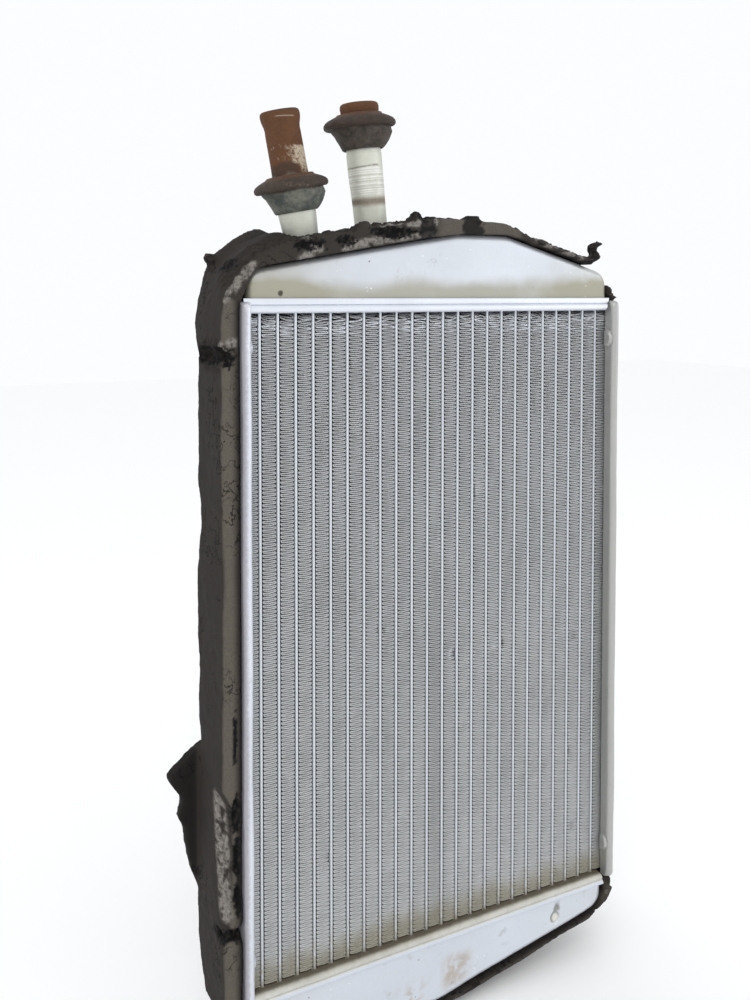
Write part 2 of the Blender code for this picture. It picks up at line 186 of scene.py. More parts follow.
def finish_mesh(name, bm, smooth=40.0, weld=1e-6):
    """Turns a mesh under construction into an object whose faces point out."""
    bmesh.ops.remove_doubles(bm, verts=bm.verts, dist=weld)
    bmesh.ops.recalc_face_normals(bm, faces=bm.faces)
    if bm.calc_volume(signed=True) < 0:
        bmesh.ops.reverse_faces(bm, faces=bm.faces)
    mesh = bpy.data.meshes.new(name)
    bm.to_mesh(mesh)
    bm.free()
    if smooth:
        mesh.shade_smooth()
        mesh.set_sharp_from_angle(angle=math.radians(smooth))
    return add_object(name, mesh)


def loft(bm, rings, closed=True, caps=True):
    """Joins rings of points with quads; closed joins each ring's last point to its first."""
    lines = [[bm.verts.new(point) for point in ring] for ring in rings]
    start = 0 if closed else 1
    for near, far in zip(lines, lines[1:]):
        for i in range(start, len(near)):
            bm.faces.new((near[i - 1], near[i], far[i], far[i - 1]))
    if caps:
        bm.faces.new(lines[0])
        bm.faces.new(lines[-1])
    return lines


def apply_modifiers(item):
    """Replaces the mesh with what its modifiers make of it."""
    depsgraph = bpy.context.evaluated_depsgraph_get()
    mesh = bpy.data.meshes.new_from_object(item.evaluated_get(depsgraph))
    item.modifiers.clear()
    item.data = mesh
    return item


def smoothstep(low, high, value):
    t = min(1.0, max(0.0, (value - low) / (high - low)))
    return t * t * (3 - 2 * t)


def between(points, x, column=1):
    """A value from a list of rows that starts with x, straight between its rows."""
    return float(np.interp(x, [row[0] for row in points], [row[column] for row in points]))


def round_corners(corners, steps=12):
    """corners holds (x, z, radius); a radius above zero becomes an arc."""
    points = []
    for i, (x, z, radius) in enumerate(corners):
        here = Vector((x, z))
        if radius <= 0:
            points.append(here)
            continue
        before = Vector(corners[i - 1][:2]) - here
        after = Vector(corners[(i + 1) % len(corners)][:2]) - here
        half = before.angle(after) / 2
        back = radius / math.tan(half)
        middle = (before.normalized() + after.normalized()).normalized()
        centre = here + middle * (radius / math.sin(half))
        start = here + before.normalized() * back - centre
        turn = start.angle_signed(here + after.normalized() * back - centre)
        points += [centre + Matrix.Rotation(-turn * s / steps, 2) @ start for s in range(steps + 1)]
    return points


def coat(item, material):
    item.data.materials.clear()
    item.data.materials.append(material)


def put(item, body, slot, material, *nodes):
    """Gives a finished piece its material, its body and the nodes it stands for; slot is not used."""
    coat(item, material)
    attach(item, body)
    if nodes:
        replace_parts(item, *nodes)
    return item


print("mesh helpers ready")

# %% [markdown]
# ## Camera, light and floor
# The camera stands to the left of the core and a little below its top, so the left edge of the foam
# and the front face are both seen. The shift slides the picture down without tilting the camera,
# which keeps the tubes upright. Light comes from all around, with one large soft lamp at the front
# left and a weaker one at the right, as on an overcast day.

# %% Camera, light and floor
CAMERA_PLACE = Vector((-0.2821, -0.4618, 0.3863))
CAMERA_TURN = math.radians(28.45)
CAMERA_DIP = math.radians(2.27)
CAMERA_SHIFT = -0.1653

camera_data = bpy.data.cameras.new("camera")
camera_data.lens = 36.0
camera_data.sensor_width = 36.0
camera_data.shift_y = CAMERA_SHIFT
camera = add_object("camera", camera_data)
camera.location = CAMERA_PLACE
camera.rotation_euler = (math.pi / 2 - CAMERA_DIP, 0, -CAMERA_TURN)
bpy.context.scene.camera = camera

world = bpy.context.scene.world or bpy.data.worlds.new("studio")
bpy.context.scene.world = world
world.use_nodes = True
sky = world.node_tree.nodes["Background"].inputs
sky["Color"].default_value = (0.97, 0.985, 1.0, 1.0)
sky["Strength"].default_value = 1.0
bpy.context.scene.view_settings.view_transform = "Standard"


def soft_lamp(name, place, aim, size, watts, colour):
    data = bpy.data.lights.new(name, "AREA")
    data.shape = "DISK"
    data.size = size
    data.energy = watts
    data.color = colour
    lamp = add_object(name, data)
    lamp.location = place
    lamp.rotation_euler = (Vector(aim) - Vector(place)).to_track_quat("-Z", "Y").to_euler()


MIDDLE = (0.0, 0.0, 0.25)
soft_lamp("key_lamp", (-0.9, -1.3, 1.5), MIDDLE, 1.2, 9.0, (1.0, 0.98, 0.95))
soft_lamp("fill_lamp", (1.3, -0.9, 0.6), MIDDLE, 1.0, 3.0, (0.93, 0.96, 1.0))

bm = bmesh.new()
bmesh.ops.create_grid(bm, x_segments=1, y_segments=1, size=4.0)
floor = finish_mesh("floor", bm, 0)
floor_material = bpy.data.materials.new("floor_white")
floor_material.use_nodes = True
floor_inputs = floor_material.node_tree.nodes["Principled BSDF"].inputs
floor_inputs["Base Color"].default_value = (0.97, 0.97, 0.97, 1.0)
floor_inputs["Roughness"].default_value = 0.9
coat(floor, floor_material)
print("camera at", tuple(round(v, 4) for v in camera.location))

# %% [markdown]
# ## Aluminium finishes
# All the metal here is the same aluminium, but it has aged differently: the brazed tubes and
# trays stay bright, the tanks are satin with beige stains where water stood, the fins are dulled
# and dusty, and dirt has settled where the fins meet the lower tray. Some light and shade is also
# painted into the colours: painted shade in the fins' open folds and under the upper tray, painted
# glints on the crushed fins, fins painted lighter towards the top, painted shade and a painted
# highlight on the tank's drop mark, and painted shade along the left plate's outer edge. Each finish
# starts from object coordinates, so a stain sits at a height in metres rather than somewhere on a
# texture.

# %% Materials of the metal pieces
def axes_of(place):
    return [place.node("ShaderNodeSeparateXYZ", {0: place}, output) for output in range(3)]


def bright_metal(name, base, dirt, dirt_low, dirt_high):
    """Clean, finely scratched aluminium with dirt that fades in from dirt_high down to dirt_low."""
    place, apply = paint(name, 0.75)
    z = axes_of(place)[2]
    cloud = place.noise(60.0, 4.0)
    streak = place.scaled((1.0, 1.0, 0.06)).noise(900.0, 2.0)
    specks = place.cells(420.0).rise(0.13, 0.07) * cloud.rise(0.52, 0.6)
    grime = z.rise(dirt_high, dirt_low) * place.noise(240.0, 5.0, 0.7).rise(0.30, 0.62)
    colour = (cloud * 0.7 + streak * 0.3).colour([v * 0.86 for v in base], [min(1.0, v * 1.07) for v in base])
    colour = (grime * 0.85).colour(colour, dirt)
    colour = (specks * 0.6).colour(colour, (0.16, 0.15, 0.13))
    rough = 0.30 + cloud * 0.16 + grime * 0.35
    return apply(colour, rough, streak * 0.3 + cloud, 0.00008)


DIRT = (0.20, 0.165, 0.115)
tube_metal = bright_metal("tube_bright", (0.63, 0.66, 0.70), (0.44, 0.41, 0.33), CORE_BOTTOM,
                          CORE_BOTTOM + 28 * MM)
upper_tray_metal = bright_metal("upper_tray_bright", (0.75, 0.78, 0.84), DIRT, 0.0, 1 * MM)


def lower_tray_finish():
    """The lower tray: brown crust in the corner under the fins, a beige bead, a cleaner lip."""
    place, apply = paint("lower_tray_stained", 0.45)
    y, z = axes_of(place)[1:]
    cloud = place.noise(70.0, 4.0, 0.6)
    fine = place.noise(380.0, 4.0, 0.65)
    reach = y.math("ABSOLUTE", y) - z + (CORE_BOTTOM - FIN_DEPTH) + cloud * 0.0030 + fine * 0.0012 - 0.0021
    bead = (cloud * 0.6 + fine * 0.5).colour((0.52, 0.51, 0.46), (0.72, 0.72, 0.69))
    lip = (cloud * 0.8 + fine * 0.2).colour((0.58, 0.62, 0.69), (0.70, 0.74, 0.81))
    colour = z.rise(CORE_BOTTOM - 4.4 * MM, CORE_BOTTOM - 5.4 * MM).colour(bead, lip)
    colour = (reach.rise(8.2 * MM, 3.6 * MM) * 0.75).colour(colour, (0.34, 0.32, 0.26))
    colour = (reach.rise(5.0 * MM, 1.6 * MM) * 0.9).colour(colour, fine.colour((0.08, 0.066, 0.045), DIRT))
    return apply(colour, 0.36 + cloud * 0.14 + reach.rise(5 * MM, 2 * MM) * 0.3, fine + cloud, 0.00008)


lower_tray_metal = lower_tray_finish()
TUBE_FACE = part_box("tube_01")[1].x
TUBE_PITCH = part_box("tube_02")[1].x - TUBE_FACE


def fin_finish():
    """Dull folded strip: dusty grey and olive dirt at the foot, with painted shade in the open folds beside
    each tube and under the upper tray, painted glints on the crushed rows, and faces painted lighter towards
    the top.
    """
    place, apply = paint("fin_dull", 0.55)
    x, y, z = axes_of(place)
    cloud = place.scaled((1.0, 0.0, 0.35)).noise(38.0, 4.0, 0.6)
    grain = place.noise(700.0, 3.0, 0.6)
    row = place.scaled((0.35, 0.4, 1.0)).noise(560.0, 2.0, 0.6)
    from_tube = ((x - TUBE_FACE) / TUBE_PITCH).math("FRACT", (x - TUBE_FACE) / TUBE_PITCH) * TUBE_PITCH
    inside = y.math("ABSOLUTE", y).rise(FIN_DEPTH - 0.7 * MM, FIN_DEPTH - 1.6 * MM)
    # Painted light and shade: the inner faces behind the front edges are painted dark near the foot and light
    # towards the top, and the edges lighten towards the top too.
    height = z.rise(CORE_BOTTOM + 0.08, CORE_TOP)
    column = x.rise(-0.012, -0.004) * x.rise(0.006, -0.002) * z.rise(0.26, 0.18)
    foot = (z + (cloud - 0.5) * 0.02).rise(CORE_BOTTOM + 17 * MM, CORE_BOTTOM + 4 * MM)
    spot = place.scaled((1.0, 0.0, 0.6)).noise(75.0, 2.0).rise(0.70, 0.76)
    # Painted highlights: white glints on the crushed rows just under the upper tray.
    painted_glint = z.band(CORE_TOP - 11 * MM, CORE_TOP - 3 * MM, 1.5 * MM) * row.rise(0.50, 0.60)
    edge = (cloud * 0.6 + row * 0.5).colour((0.29, 0.295, 0.29), (0.60, 0.61, 0.62))
    edge = (height * 0.5).colour(edge, (0.60, 0.61, 0.63))
    flat = height.colour((0.29, 0.295, 0.30), (0.80, 0.80, 0.80))
    colour = inside.colour(edge, flat)
    colour = (column * 0.35).colour(colour, (0.27, 0.27, 0.265))
    colour = (foot * 0.7).colour(colour, grain.colour((0.20, 0.18, 0.12), (0.47, 0.43, 0.32)))
    colour = (spot * 0.5).colour(colour, (0.74, 0.76, 0.78))
    colour = (painted_glint * 0.8).colour(colour, (0.86, 0.88, 0.92))
    # Painted shade: near-black in the open folds just right of each tube.
    colour = (inside * from_tube.rise(2.6 * MM, 1.2 * MM) * 0.94).colour(colour, (0.030, 0.034, 0.036))
    # Painted shade: a dark row just under the upper tray.
    colour = (z.rise(CORE_TOP - 2.4 * MM, CORE_TOP - 1.0 * MM) * 0.85).colour(colour, (0.05, 0.055, 0.07))
    return apply(colour, 0.40 + cloud * 0.18 + foot * 0.3, grain, 0.00012)


fin_metal = fin_finish()
DROP_TOP = Vector((77.6 * MM, 37.4 * MM))
DROP_FOOT = Vector((75.8 * MM, 29.0 * MM))


def tank_finish(name, stain_low, stain_high, patch_x, patch_z, dark, light, beige):
    """Satin pressed sheet: pale blue-grey, a beige tide mark, an old stain, flecks and small pits, with
    painted shade and a painted highlight on the pressed drop mark.
    """
    place, apply = paint(name, 0.62)
    x, z = axes_of(place)[::2]
    cloud = place.noise(22.0, 4.0, 0.55)
    fine = place.noise(420.0, 4.0, 0.65)
    brushed = place.scaled((0.05, 1.0, 1.0)).noise(800.0, 2.0)
    wander = place.noise(30.0, 3.0) * 0.012 - 0.006
    tide = (z + wander).rise(stain_high, stain_low) * (place.noise(45.0, 4.0) + 0.5).clamp()
    left = (x + wander * 3).rise(-TANK_HALF + 62 * MM, -TANK_HALF + 8 * MM)
    patch = (x + wander * 2).band(patch_x - 9 * MM, patch_x + 9 * MM, 5 * MM)
    patch = patch * (z + wander).band(patch_z - 7 * MM, patch_z + 6 * MM, 4 * MM)
    patch = patch * (place.noise(170.0, 6.0, 0.7).rise(0.36, 0.56) * 0.75 + 0.25)
    drip = (x + wander * 2).band(patch_x - 36 * MM, patch_x - 22 * MM, 6 * MM)
    drip = drip * (z + wander).rise(26 * MM, 16 * MM)
    patch = patch + drip * place.noise(210.0, 6.0, 0.7).rise(0.44, 0.58) * 0.8
    flecks = place.cells(260.0).rise(0.13, 0.05) * place.noise(34.0).rise(0.50, 0.58)
    pits = place.cells(190.0).rise(0.11, 0.05) * place.noise(57.0).rise(0.54, 0.62)
    flat = place.scaled((1.0, 0.0, 1.0))
    # Painted shade in the pressed drop mark at its narrow top and round its rim, and a painted highlight on
    # its foot.
    drop_tip_shade = flat.distance((DROP_TOP.x - 0.8 * MM, 0.0, DROP_TOP.y - 3.2 * MM)).rise(3.0 * MM, 1.4 * MM)
    rim = flat.distance((DROP_FOOT.x - 0.5 * MM, 0.0, DROP_FOOT.y + 0.8 * MM)).rise(3.7 * MM, 2.9 * MM)
    foot = flat.distance((DROP_FOOT.x + 0.3 * MM, 0.0, DROP_FOOT.y)).rise(3.1 * MM, 1.3 * MM)
    knock = flat.distance((-93.4 * MM, 0.0, TANK_TOP + 2.4 * MM)) + (fine - 0.5) * 0.0012
    grey = place.noise(130.0, 6.0, 0.72).rise(0.55, 0.68) * place.noise(48.0).rise(0.45, 0.58)
    right = (x + wander * 3).rise(TANK_HALF - 62 * MM, TANK_HALF - 8 * MM)
    colour = (cloud * 0.8 + fine * 0.25).colour(dark, light)
    colour = (grey * 0.32).colour(colour, (0.27, 0.27, 0.27))
    colour = (tide * 0.85 + left * beige + right * beige * 0.65).clamp().colour(colour, (0.37, 0.355, 0.285))
    colour = (patch * 0.65).colour(colour, fine.colour((0.30, 0.22, 0.14), (0.56, 0.47, 0.36)))
    # The drop mark's painted shade, then its painted highlight.
    colour = (drop_tip_shade.math("MAXIMUM", drop_tip_shade, rim) * 0.72).colour(colour, (0.17, 0.17, 0.13))
    colour = (foot * 0.85).colour(colour, (0.78, 0.77, 0.71))
    colour = (knock.rise(1.7 * MM, 1.0 * MM) * 0.9).colour(colour, (0.05, 0.045, 0.03))
    colour = (flecks * 0.8).colour(colour, (0.93, 0.93, 0.90))
    colour = (pits * 0.85).colour(colour, (0.10, 0.09, 0.07))
    rough = 0.36 + cloud * 0.14 + tide * 0.15
    return apply(colour, rough, fine * 0.5 + brushed * 0.25 - pits, 0.00010)


upper_tank_metal = tank_finish("upper_tank_satin", TANK_TOP + 4 * MM, TANK_TOP + 13 * MM, 0.5, 0.0,
                               (0.52, 0.545, 0.58), (0.68, 0.71, 0.76), 0.62)
lower_tank_metal = tank_finish("lower_tank_satin", -0.020, -0.010, 8 * MM, 22 * MM,
                               (0.56, 0.59, 0.64), (0.74, 0.78, 0.84), 0.18)
PLATE_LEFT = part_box("left_side_plate")[0].x


def plate_finish():
    """The side plates: grey satin with a beige film and darker handling marks, and the left plate's outer
    edge darkened: painted shade where the bead turns towards the foam, with dirt along it.
    """
    place, apply = paint("plate_satin", 0.6)
    x = axes_of(place)[0]
    cloud = place.scaled((1.0, 1.0, 0.25)).noise(55.0, 4.0, 0.6)
    fine = place.noise(500.0, 3.0, 0.6)
    right = x.rise(-0.02, 0.02)
    # The left plate's outer edge is darkened: painted shade where the bead turns away beside the foam,
    # together with dirt along that edge.
    edge = x + (fine - 0.5) * 0.0016 + (cloud - 0.5) * 0.001
    edge = edge.rise(PLATE_LEFT + 3.0 * MM, PLATE_LEFT + 0.6 * MM)
    clean = (cloud * 0.8 + fine * 0.3).colour((0.60, 0.62, 0.68), (0.72, 0.75, 0.81))
    clean = (edge * 0.85).colour(clean, (0.30, 0.285, 0.31))
    film = (cloud * 0.8 + fine * 0.3).colour((0.34, 0.34, 0.32), (0.50, 0.50, 0.48))
    marks = place.noise(90.0, 5.0, 0.7).rise(0.60, 0.72)
    colour = (marks * 0.3).colour(right.colour(clean, film), (0.36, 0.35, 0.33))
    return apply(colour, 0.38 + cloud * 0.16, fine * 0.5 + cloud, 0.0001)


plate_metal = plate_finish()
for name, node in frame["nodes"].items():
    if name.startswith("tube_"):
        coat(node, tube_metal)
coat(frame["nodes"]["upper_tank_baffle"], upper_tank_metal)
print("metal finishes:", [m.name for m in bpy.data.materials if "_" in m.name])

# %% [markdown]
# ## The folded fins
# Each space between two tubes holds one thin strip, folded back and forth about 160 times. That is
# a job for Geometry Nodes: one tree draws the fold as a line whose points follow from their index,
# and sweeps the strip's section along it. Eight points make one wave: three round each bend and one
# in the middle of each flat. The section has ten points a side, five at each edge, and every second
# one is lifted: that makes the slanted louvres that stir the air. Noise then lets the flats sag, and
# crushes the strip under the upper tray, where fingers and tools have caught it.

# %% The fold as a node tree
WAVE = 2.05 * MM
BEND = 0.42 * MM
SHEET = 0.15 * MM
LOUVRE = 1.2 * MM
SLANT = 0.34 * MM
TREE_INPUTS = ("Width", "Wave", "Bend", "Sheet", "Depth", "Louvre", "Slant", "Waves", "Bottom", "Middle",
               "Crush Top", "Crush")


def fold_tree(material):
    tree = bpy.data.node_groups.new("folded fin", "GeometryNodeTree")
    tree.interface.new_socket("Geometry", in_out="OUTPUT", socket_type="NodeSocketGeometry")
    for name in TREE_INPUTS:
        tree.interface.new_socket(name, in_out="INPUT", socket_type="NodeSocketFloat")
    start = Wire(tree)
    group = tree.nodes.new("NodeGroupInput")
    size = {name: Wire(tree, group.outputs[name]) for name in TREE_INPUTS}
    half_wave = size["Wave"] / 2

    count = size["Waves"] * 8 + 1
    line = start.node("GeometryNodeMeshLine", {"Count": count})
    index = start.node("GeometryNodeInputIndex")
    bend_number = (index / 4).math("FLOOR", index / 4)
    step = index - bend_number * 4
    side = 1 - 2 * bend_number.math("MODULO", bend_number, 2.0)
    in_flat = step.math("GREATER_THAN", step, 2.5)
    from_apex = step.math("ABSOLUTE", step - 1)
    x_bend = size["Width"] / 2 - size["Bend"] * from_apex
    x = size["Middle"] + side * x_bend * (1 - in_flat)
    z_bend = (step - 1) * size["Bend"]
    z = size["Bottom"] + bend_number * half_wave + z_bend * (1 - in_flat) + in_flat * half_wave / 2
    spot = start.node("ShaderNodeCombineXYZ", {0: x, 1: 0.0, 2: z})
    folded = start.node("GeometryNodeSetPosition", {"Geometry": line, "Position": spot})
    path = start.node("GeometryNodeMeshToCurve", {0: folded})
    place = 9.5 - (index - 9.5).math("ABSOLUTE", index - 9.5)
    from_edge = place.math("MINIMUM", place, 9 - place)
    depth = (size["Depth"] / 2 - from_edge * size["Louvre"]) * place.math("SIGN", place - 4.5)
    face = size["Sheet"] / 2 * index.math("SIGN", 9.5 - index)
    loop = start.node("GeometryNodeMeshLine", {"Count": 20})
    loop_spot = start.node("ShaderNodeCombineXYZ", {0: depth, 1: face, 2: 0.0})
    loop = start.node("GeometryNodeSetPosition", {"Geometry": loop, "Position": loop_spot})
    loop = start.node("GeometryNodeMeshToCurve", {0: loop})
    section = start.node("GeometryNodeSetSplineCyclic", {"Geometry": loop, "Cyclic": True})
    strip = start.node("GeometryNodeCurveToMesh",
                       {"Curve": path, "Profile Curve": section, "Fill Caps": True})

    here = start.node("GeometryNodeInputPosition")
    shelf, front, height = axes_of(here)
    louvre = (size["Depth"] / 2 - front.math("ABSOLUTE", front)) / size["Louvre"] - 0.5
    louvre = louvre.math("SINE", louvre * math.pi) * size["Slant"]
    centred = (shelf - size["Middle"]) / size["Width"]
    sag = (1 - 4 * centred * centred) * (here.scaled((1.0, 1.0, 0.5)).noise(130.0, 2.0) - 0.62) * 0.0016
    crushed = (size["Crush Top"] - height).rise(9 * MM, 0.5 * MM) * size["Crush"]
    dent = here.scaled((1.0, 0.0, 0.7)).noise(64.0, 1.0).rise(0.70, 0.78)
    loose = here.scaled((1.0, 0.3, 1.0)).noise(330.0, 2.0, 0.6) - 0.5
    fold_over = here.scaled((1.0, 0.3, 1.0)).noise(210.0, 2.0, 0.6) - 0.5
    lift = sag + louvre + loose * (crushed * 0.0058 + dent * 0.0020)
    pushed = fold_over * crushed * 0.0030 + dent * 0.0009
    moved = start.node("ShaderNodeCombineXYZ", {0: 0.0, 1: pushed, 2: lift})
    shaped = start.node("GeometryNodeSetPosition", {"Geometry": strip, "Offset": moved})
    real = start.node("GeometryNodeRealizeInstances", {0: shaped})
    done = start.node("GeometryNodeSetMaterial", {"Geometry": real, "Material": material})
    tree.links.new(done.socket, tree.nodes.new("NodeGroupOutput").inputs[0])
    return tree


def from_tree(name, tree, values):
    """Runs a node tree on an empty mesh with these inputs, and keeps the result as a plain mesh."""
    item = add_object(name, bpy.data.meshes.new(name))
    modifier = item.modifiers.new("shape", "NODES")
    modifier.node_group = tree
    for socket in tree.interface.items_tree:
        if socket.in_out == "INPUT" and socket.name in values:
            modifier[socket.identifier] = values[socket.name]
    return apply_modifiers(item)


# %% Twenty-four fins
fin_tree = fold_tree(fin_metal)
waves = round((CORE_TOP - CORE_BOTTOM - 2 * BEND) / WAVE)
for name in sorted(n for n in frame["nodes"] if n.startswith("fin_")):
    low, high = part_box(name)
    fin = from_tree("folded_" + name, fin_tree, {
        "Width": high.x - low.x - SHEET, "Wave": WAVE, "Bend": BEND, "Sheet": SHEET,
        "Depth": 2 * FIN_DEPTH - 0.6 * MM, "Louvre": LOUVRE, "Slant": SLANT, "Waves": float(waves),
        "Bottom": CORE_BOTTOM + 2 * BEND, "Middle": (low.x + high.x) / 2, "Crush Top": CORE_TOP,
        "Crush": 1.0})
    put(fin, "core", "fin_aluminium", fin_metal, name)
print(f"24 fins of {waves} waves, {len(fin.data.polygons)} faces each")

# %% [markdown]
# ## The header trays
# The tubes end in a shallow tray whose rim was folded up round the tank. Seen from the front it is a
# rounded bead along the fins, a groove, and a flat lip against the tank. One section, swept along X
# and cut back at an angle at both ends, makes both trays: the lower one is the upper one turned over.

# %% Header trays
TRAY_SIDE = TANK_FACE + 0.3 * MM
TRAY_RIGHT = 110 * MM
TRAY_LEFT = 110.3 * MM
TRAY_EAR = 2.7 * MM
TRAY_CUT_BACK = 2.5 * MM
TRAY_FLOOR = 2 * MM
TRAY_BEAD = 2.1 * MM


def tray_half():
    """Front half of the section as (y, height above the fins), outer face first."""
    bead_y = TRAY_BEAD - TRAY_FRONT
    turns = [math.radians(a) for a in range(-80, 66, 12)]
    points = [(-FIN_DEPTH, 0.0)]
    points += [(bead_y - TRAY_BEAD * math.cos(a), TRAY_BEAD * (1 + math.sin(a))) for a in turns]
    points += [(-TRAY_FRONT + 1.25 * MM, 4.0 * MM), (-TRAY_FRONT + 0.75 * MM, 4.35 * MM)]
    points += [(-TRAY_FRONT + 0.6 * MM, 5.2 * MM), (-TRAY_FRONT + 0.6 * MM, TRAY_HEIGHT - 0.6 * MM)]
    points += [(-TRAY_FRONT + 1.0 * MM, TRAY_HEIGHT), (-TRAY_SIDE, TRAY_HEIGHT), (-TRAY_SIDE, TRAY_FLOOR)]
    return points


def make_tray(name, base, up, material):
    half = tray_half()
    section = half + [(-y, z) for y, z in reversed(half)]
    steps = 120
    rings = []
    for i in range(steps + 1):
        ring = []
        for y, z in section:
            right = TRAY_RIGHT - TRAY_CUT_BACK * (1 - z / TRAY_HEIGHT)
            left = TRAY_LEFT + TRAY_EAR * smoothstep(3.0 * MM, 5.0 * MM, z)
            x = -left + (left + right) * i / steps
            dent = (noise.noise(Vector((x * 50, y * 60, base * 40))) * 0.22
                    + noise.noise(Vector((x * 200, y * 60, base * 90))) * 0.03) * MM
            ring.append((x, y + dent * smoothstep(0.012, 0.02, abs(y)), base + up * z))
        rings.append(ring)
    bm = bmesh.new()
    loft(bm, rings)
    return put(finish_mesh(name, bm, 35), "core", "header_aluminium", material)


upper_tray = make_tray("upper_tray", CORE_TOP, 1, upper_tray_metal)
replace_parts(upper_tray, "upper_header_plate")
lower_tray = make_tray("lower_tray", CORE_BOTTOM, -1, lower_tray_metal)
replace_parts(lower_tray, "lower_header_plate")
print("trays:", len(upper_tray.data.polygons), "faces each")

# %% [markdown]
# ## The stamped tanks
# Each tank is one pressed sheet with a sloping roof and softly rounded front and back edges. The
# outline is offset inwards ring by ring to make the round edge, so the radius is true all the way
# round. The flat faces are then cut into a grid, which lets them carry the slight waves of pressed
# sheet, a few dents, and in the lower tank a pressed drop-shaped mark.

# %% Tanks
TANK_WALL = 1.6 * MM
TANK_EDGE = 4.2 * MM
TANK_SIDE = 13.6 * MM
TANK_PEAK = 34 * MM
CREST_END = 40 * MM
SKIRT = 4.8 * MM


def tank_outline(crest_start, grow=0.0):
    half, side, peak = TANK_HALF + grow, TANK_SIDE + grow, TANK_PEAK + grow
    shoulder, crest = 9 * MM + grow, 30 * MM + grow
    return round_corners([(-half, -SKIRT, 0), (-half, side, shoulder), (crest_start, peak, crest),
                          (CREST_END, peak, crest), (half, side, shoulder), (half, -SKIRT, 0)])


def inset(points, distance):
    moved = []
    for i, point in enumerate(points):
        before = points[max(0, i - 1)]
        after = points[min(len(points) - 1, i + 1)]
        along = (after - before).normalized()
        moved.append(point + Vector((along.y, -along.x)) * distance)
    return moved


def drop_mark(x, z):
    """How deep the drop-shaped mark is at a point of the face: narrow at its top, round at its foot."""
    line = DROP_FOOT - DROP_TOP
    t = min(1.0, max(0.0, (Vector((x, z)) - DROP_TOP).dot(line) / line.length_squared))
    near = (Vector((x, z)) - (DROP_TOP + line * t)).length
    radius = (1.0 + 2.6 * t) * MM
    return smoothstep(radius, radius * 0.45, near) * (1.3 - 0.5 * t) * MM if near < radius else 0.0


def by_drop_mark(face):
    centre = face.calc_center_median()
    return centre.y < -TANK_FACE + MM and (Vector((centre.x, centre.z)) - DROP_FOOT).length < 15 * MM


def make_tank(name, base, up, crest_start, dents):
    """up is 1 for the upper tank and -1 for the lower; a dent is (x, z, radius, depth)."""
    outline = tank_outline(crest_start)
    if up < 0:
        outline = [Vector((-p.x, p.y)) for p in reversed(outline)]
    quarter = [math.radians(a) for a in range(0, 91, 15)]
    sections = [(TANK_EDGE * (1 - math.sin(a)), TANK_FACE - TANK_EDGE * (1 - math.cos(a))) for a in quarter]
    depths = [(d, -y) for d, y in sections] + [(d, y) for d, y in reversed(sections)]
    rings = [[(p.x, y, base + up * p.y) for p in inset(outline, d)] for d, y in depths]
    bm = bmesh.new()
    loft(bm, rings, closed=False)
    for x in np.arange(-TANK_HALF + 2 * MM, TANK_HALF, 3 * MM):
        cut_grid(bm, (x, 0, 0), (1, 0, 0))
    for z in np.arange(1 * MM, TANK_PEAK, 3 * MM):
        cut_grid(bm, (0, 0, base + up * z), (0, 0, 1))
    if up < 0:
        edges = list({e for f in bm.faces if by_drop_mark(f) for e in f.edges})
        bmesh.ops.subdivide_edges(bm, edges=edges, cuts=3, use_grid_fill=True)
    for v in bm.verts:
        rise = up * (v.co.z - base)
        free = smoothstep(0.5 * MM, 6 * MM, rise)
        side = math.copysign(1, v.co.y)
        wave = noise.noise(Vector((v.co.x * 28, side * 5, v.co.z * 34))) * 0.55
        wave += noise.noise(Vector((v.co.x * 90, side * 7, v.co.z * 80))) * 0.12
        depth = wave * MM
        if v.co.y < 0:
            for x, z, radius, deep in dents:
                far = math.hypot(v.co.x - x, v.co.z - z)
                depth += deep * math.exp(-(far / radius) ** 2)
            if up < 0:
                depth += drop_mark(v.co.x, v.co.z) / max(free, 0.01)
        v.co.y -= side * depth * free
    tank = finish_mesh(name, bm, 40)
    shell = tank.modifiers.new("wall", "SOLIDIFY")
    shell.thickness = TANK_WALL
    shell.offset = -1
    return tank


def cut_grid(bm, place, normal):
    bmesh.ops.bisect_plane(bm, geom=bm.verts[:] + bm.edges[:] + bm.faces[:], plane_co=place, plane_no=normal,
                           dist=1e-6)


def spigot_frame(mount_name):
    """The middle of a spigot's open end and the pipe's outward axis, from the record's mount."""
    mount = next(m for m in frame["record"]["mounts"] if m["name"] == mount_name)
    end = Vector(mount["pos_m"])
    end.y = 0.0
    return end, Vector(mount["axis"]).normalized()


INLET_END, INLET_AXIS = spigot_frame("inlet_spigot_end")
OUTLET_END, OUTLET_AXIS = spigot_frame("outlet_spigot_end")
SPIGOT_ROOT = 80 * MM
TANK_HOLE = 9.1 * MM
FOAM_HOLE = 10.9 * MM


def drill(item, radius):
    """Cuts both spigots' holes through a piece."""
    cutters = []
    for end, axis in ((INLET_END, INLET_AXIS), (OUTLET_END, OUTLET_AXIS)):
        bm = bmesh.new()
        turn = axis.to_track_quat("Z", "Y").to_matrix().to_4x4()
        bmesh.ops.create_cone(bm, cap_ends=True, segments=48, radius1=radius, radius2=radius, depth=60 * MM,
                              matrix=Matrix.Translation(end - axis * SPIGOT_ROOT) @ turn)
        cutter = finish_mesh("drill", bm, 0)
        cut = item.modifiers.new("hole", "BOOLEAN")
        cut.object = cutter
        cutters.append(cutter)
    apply_modifiers(item)
    for cutter in cutters:
        bpy.data.objects.remove(cutter, do_unlink=True)
    return item


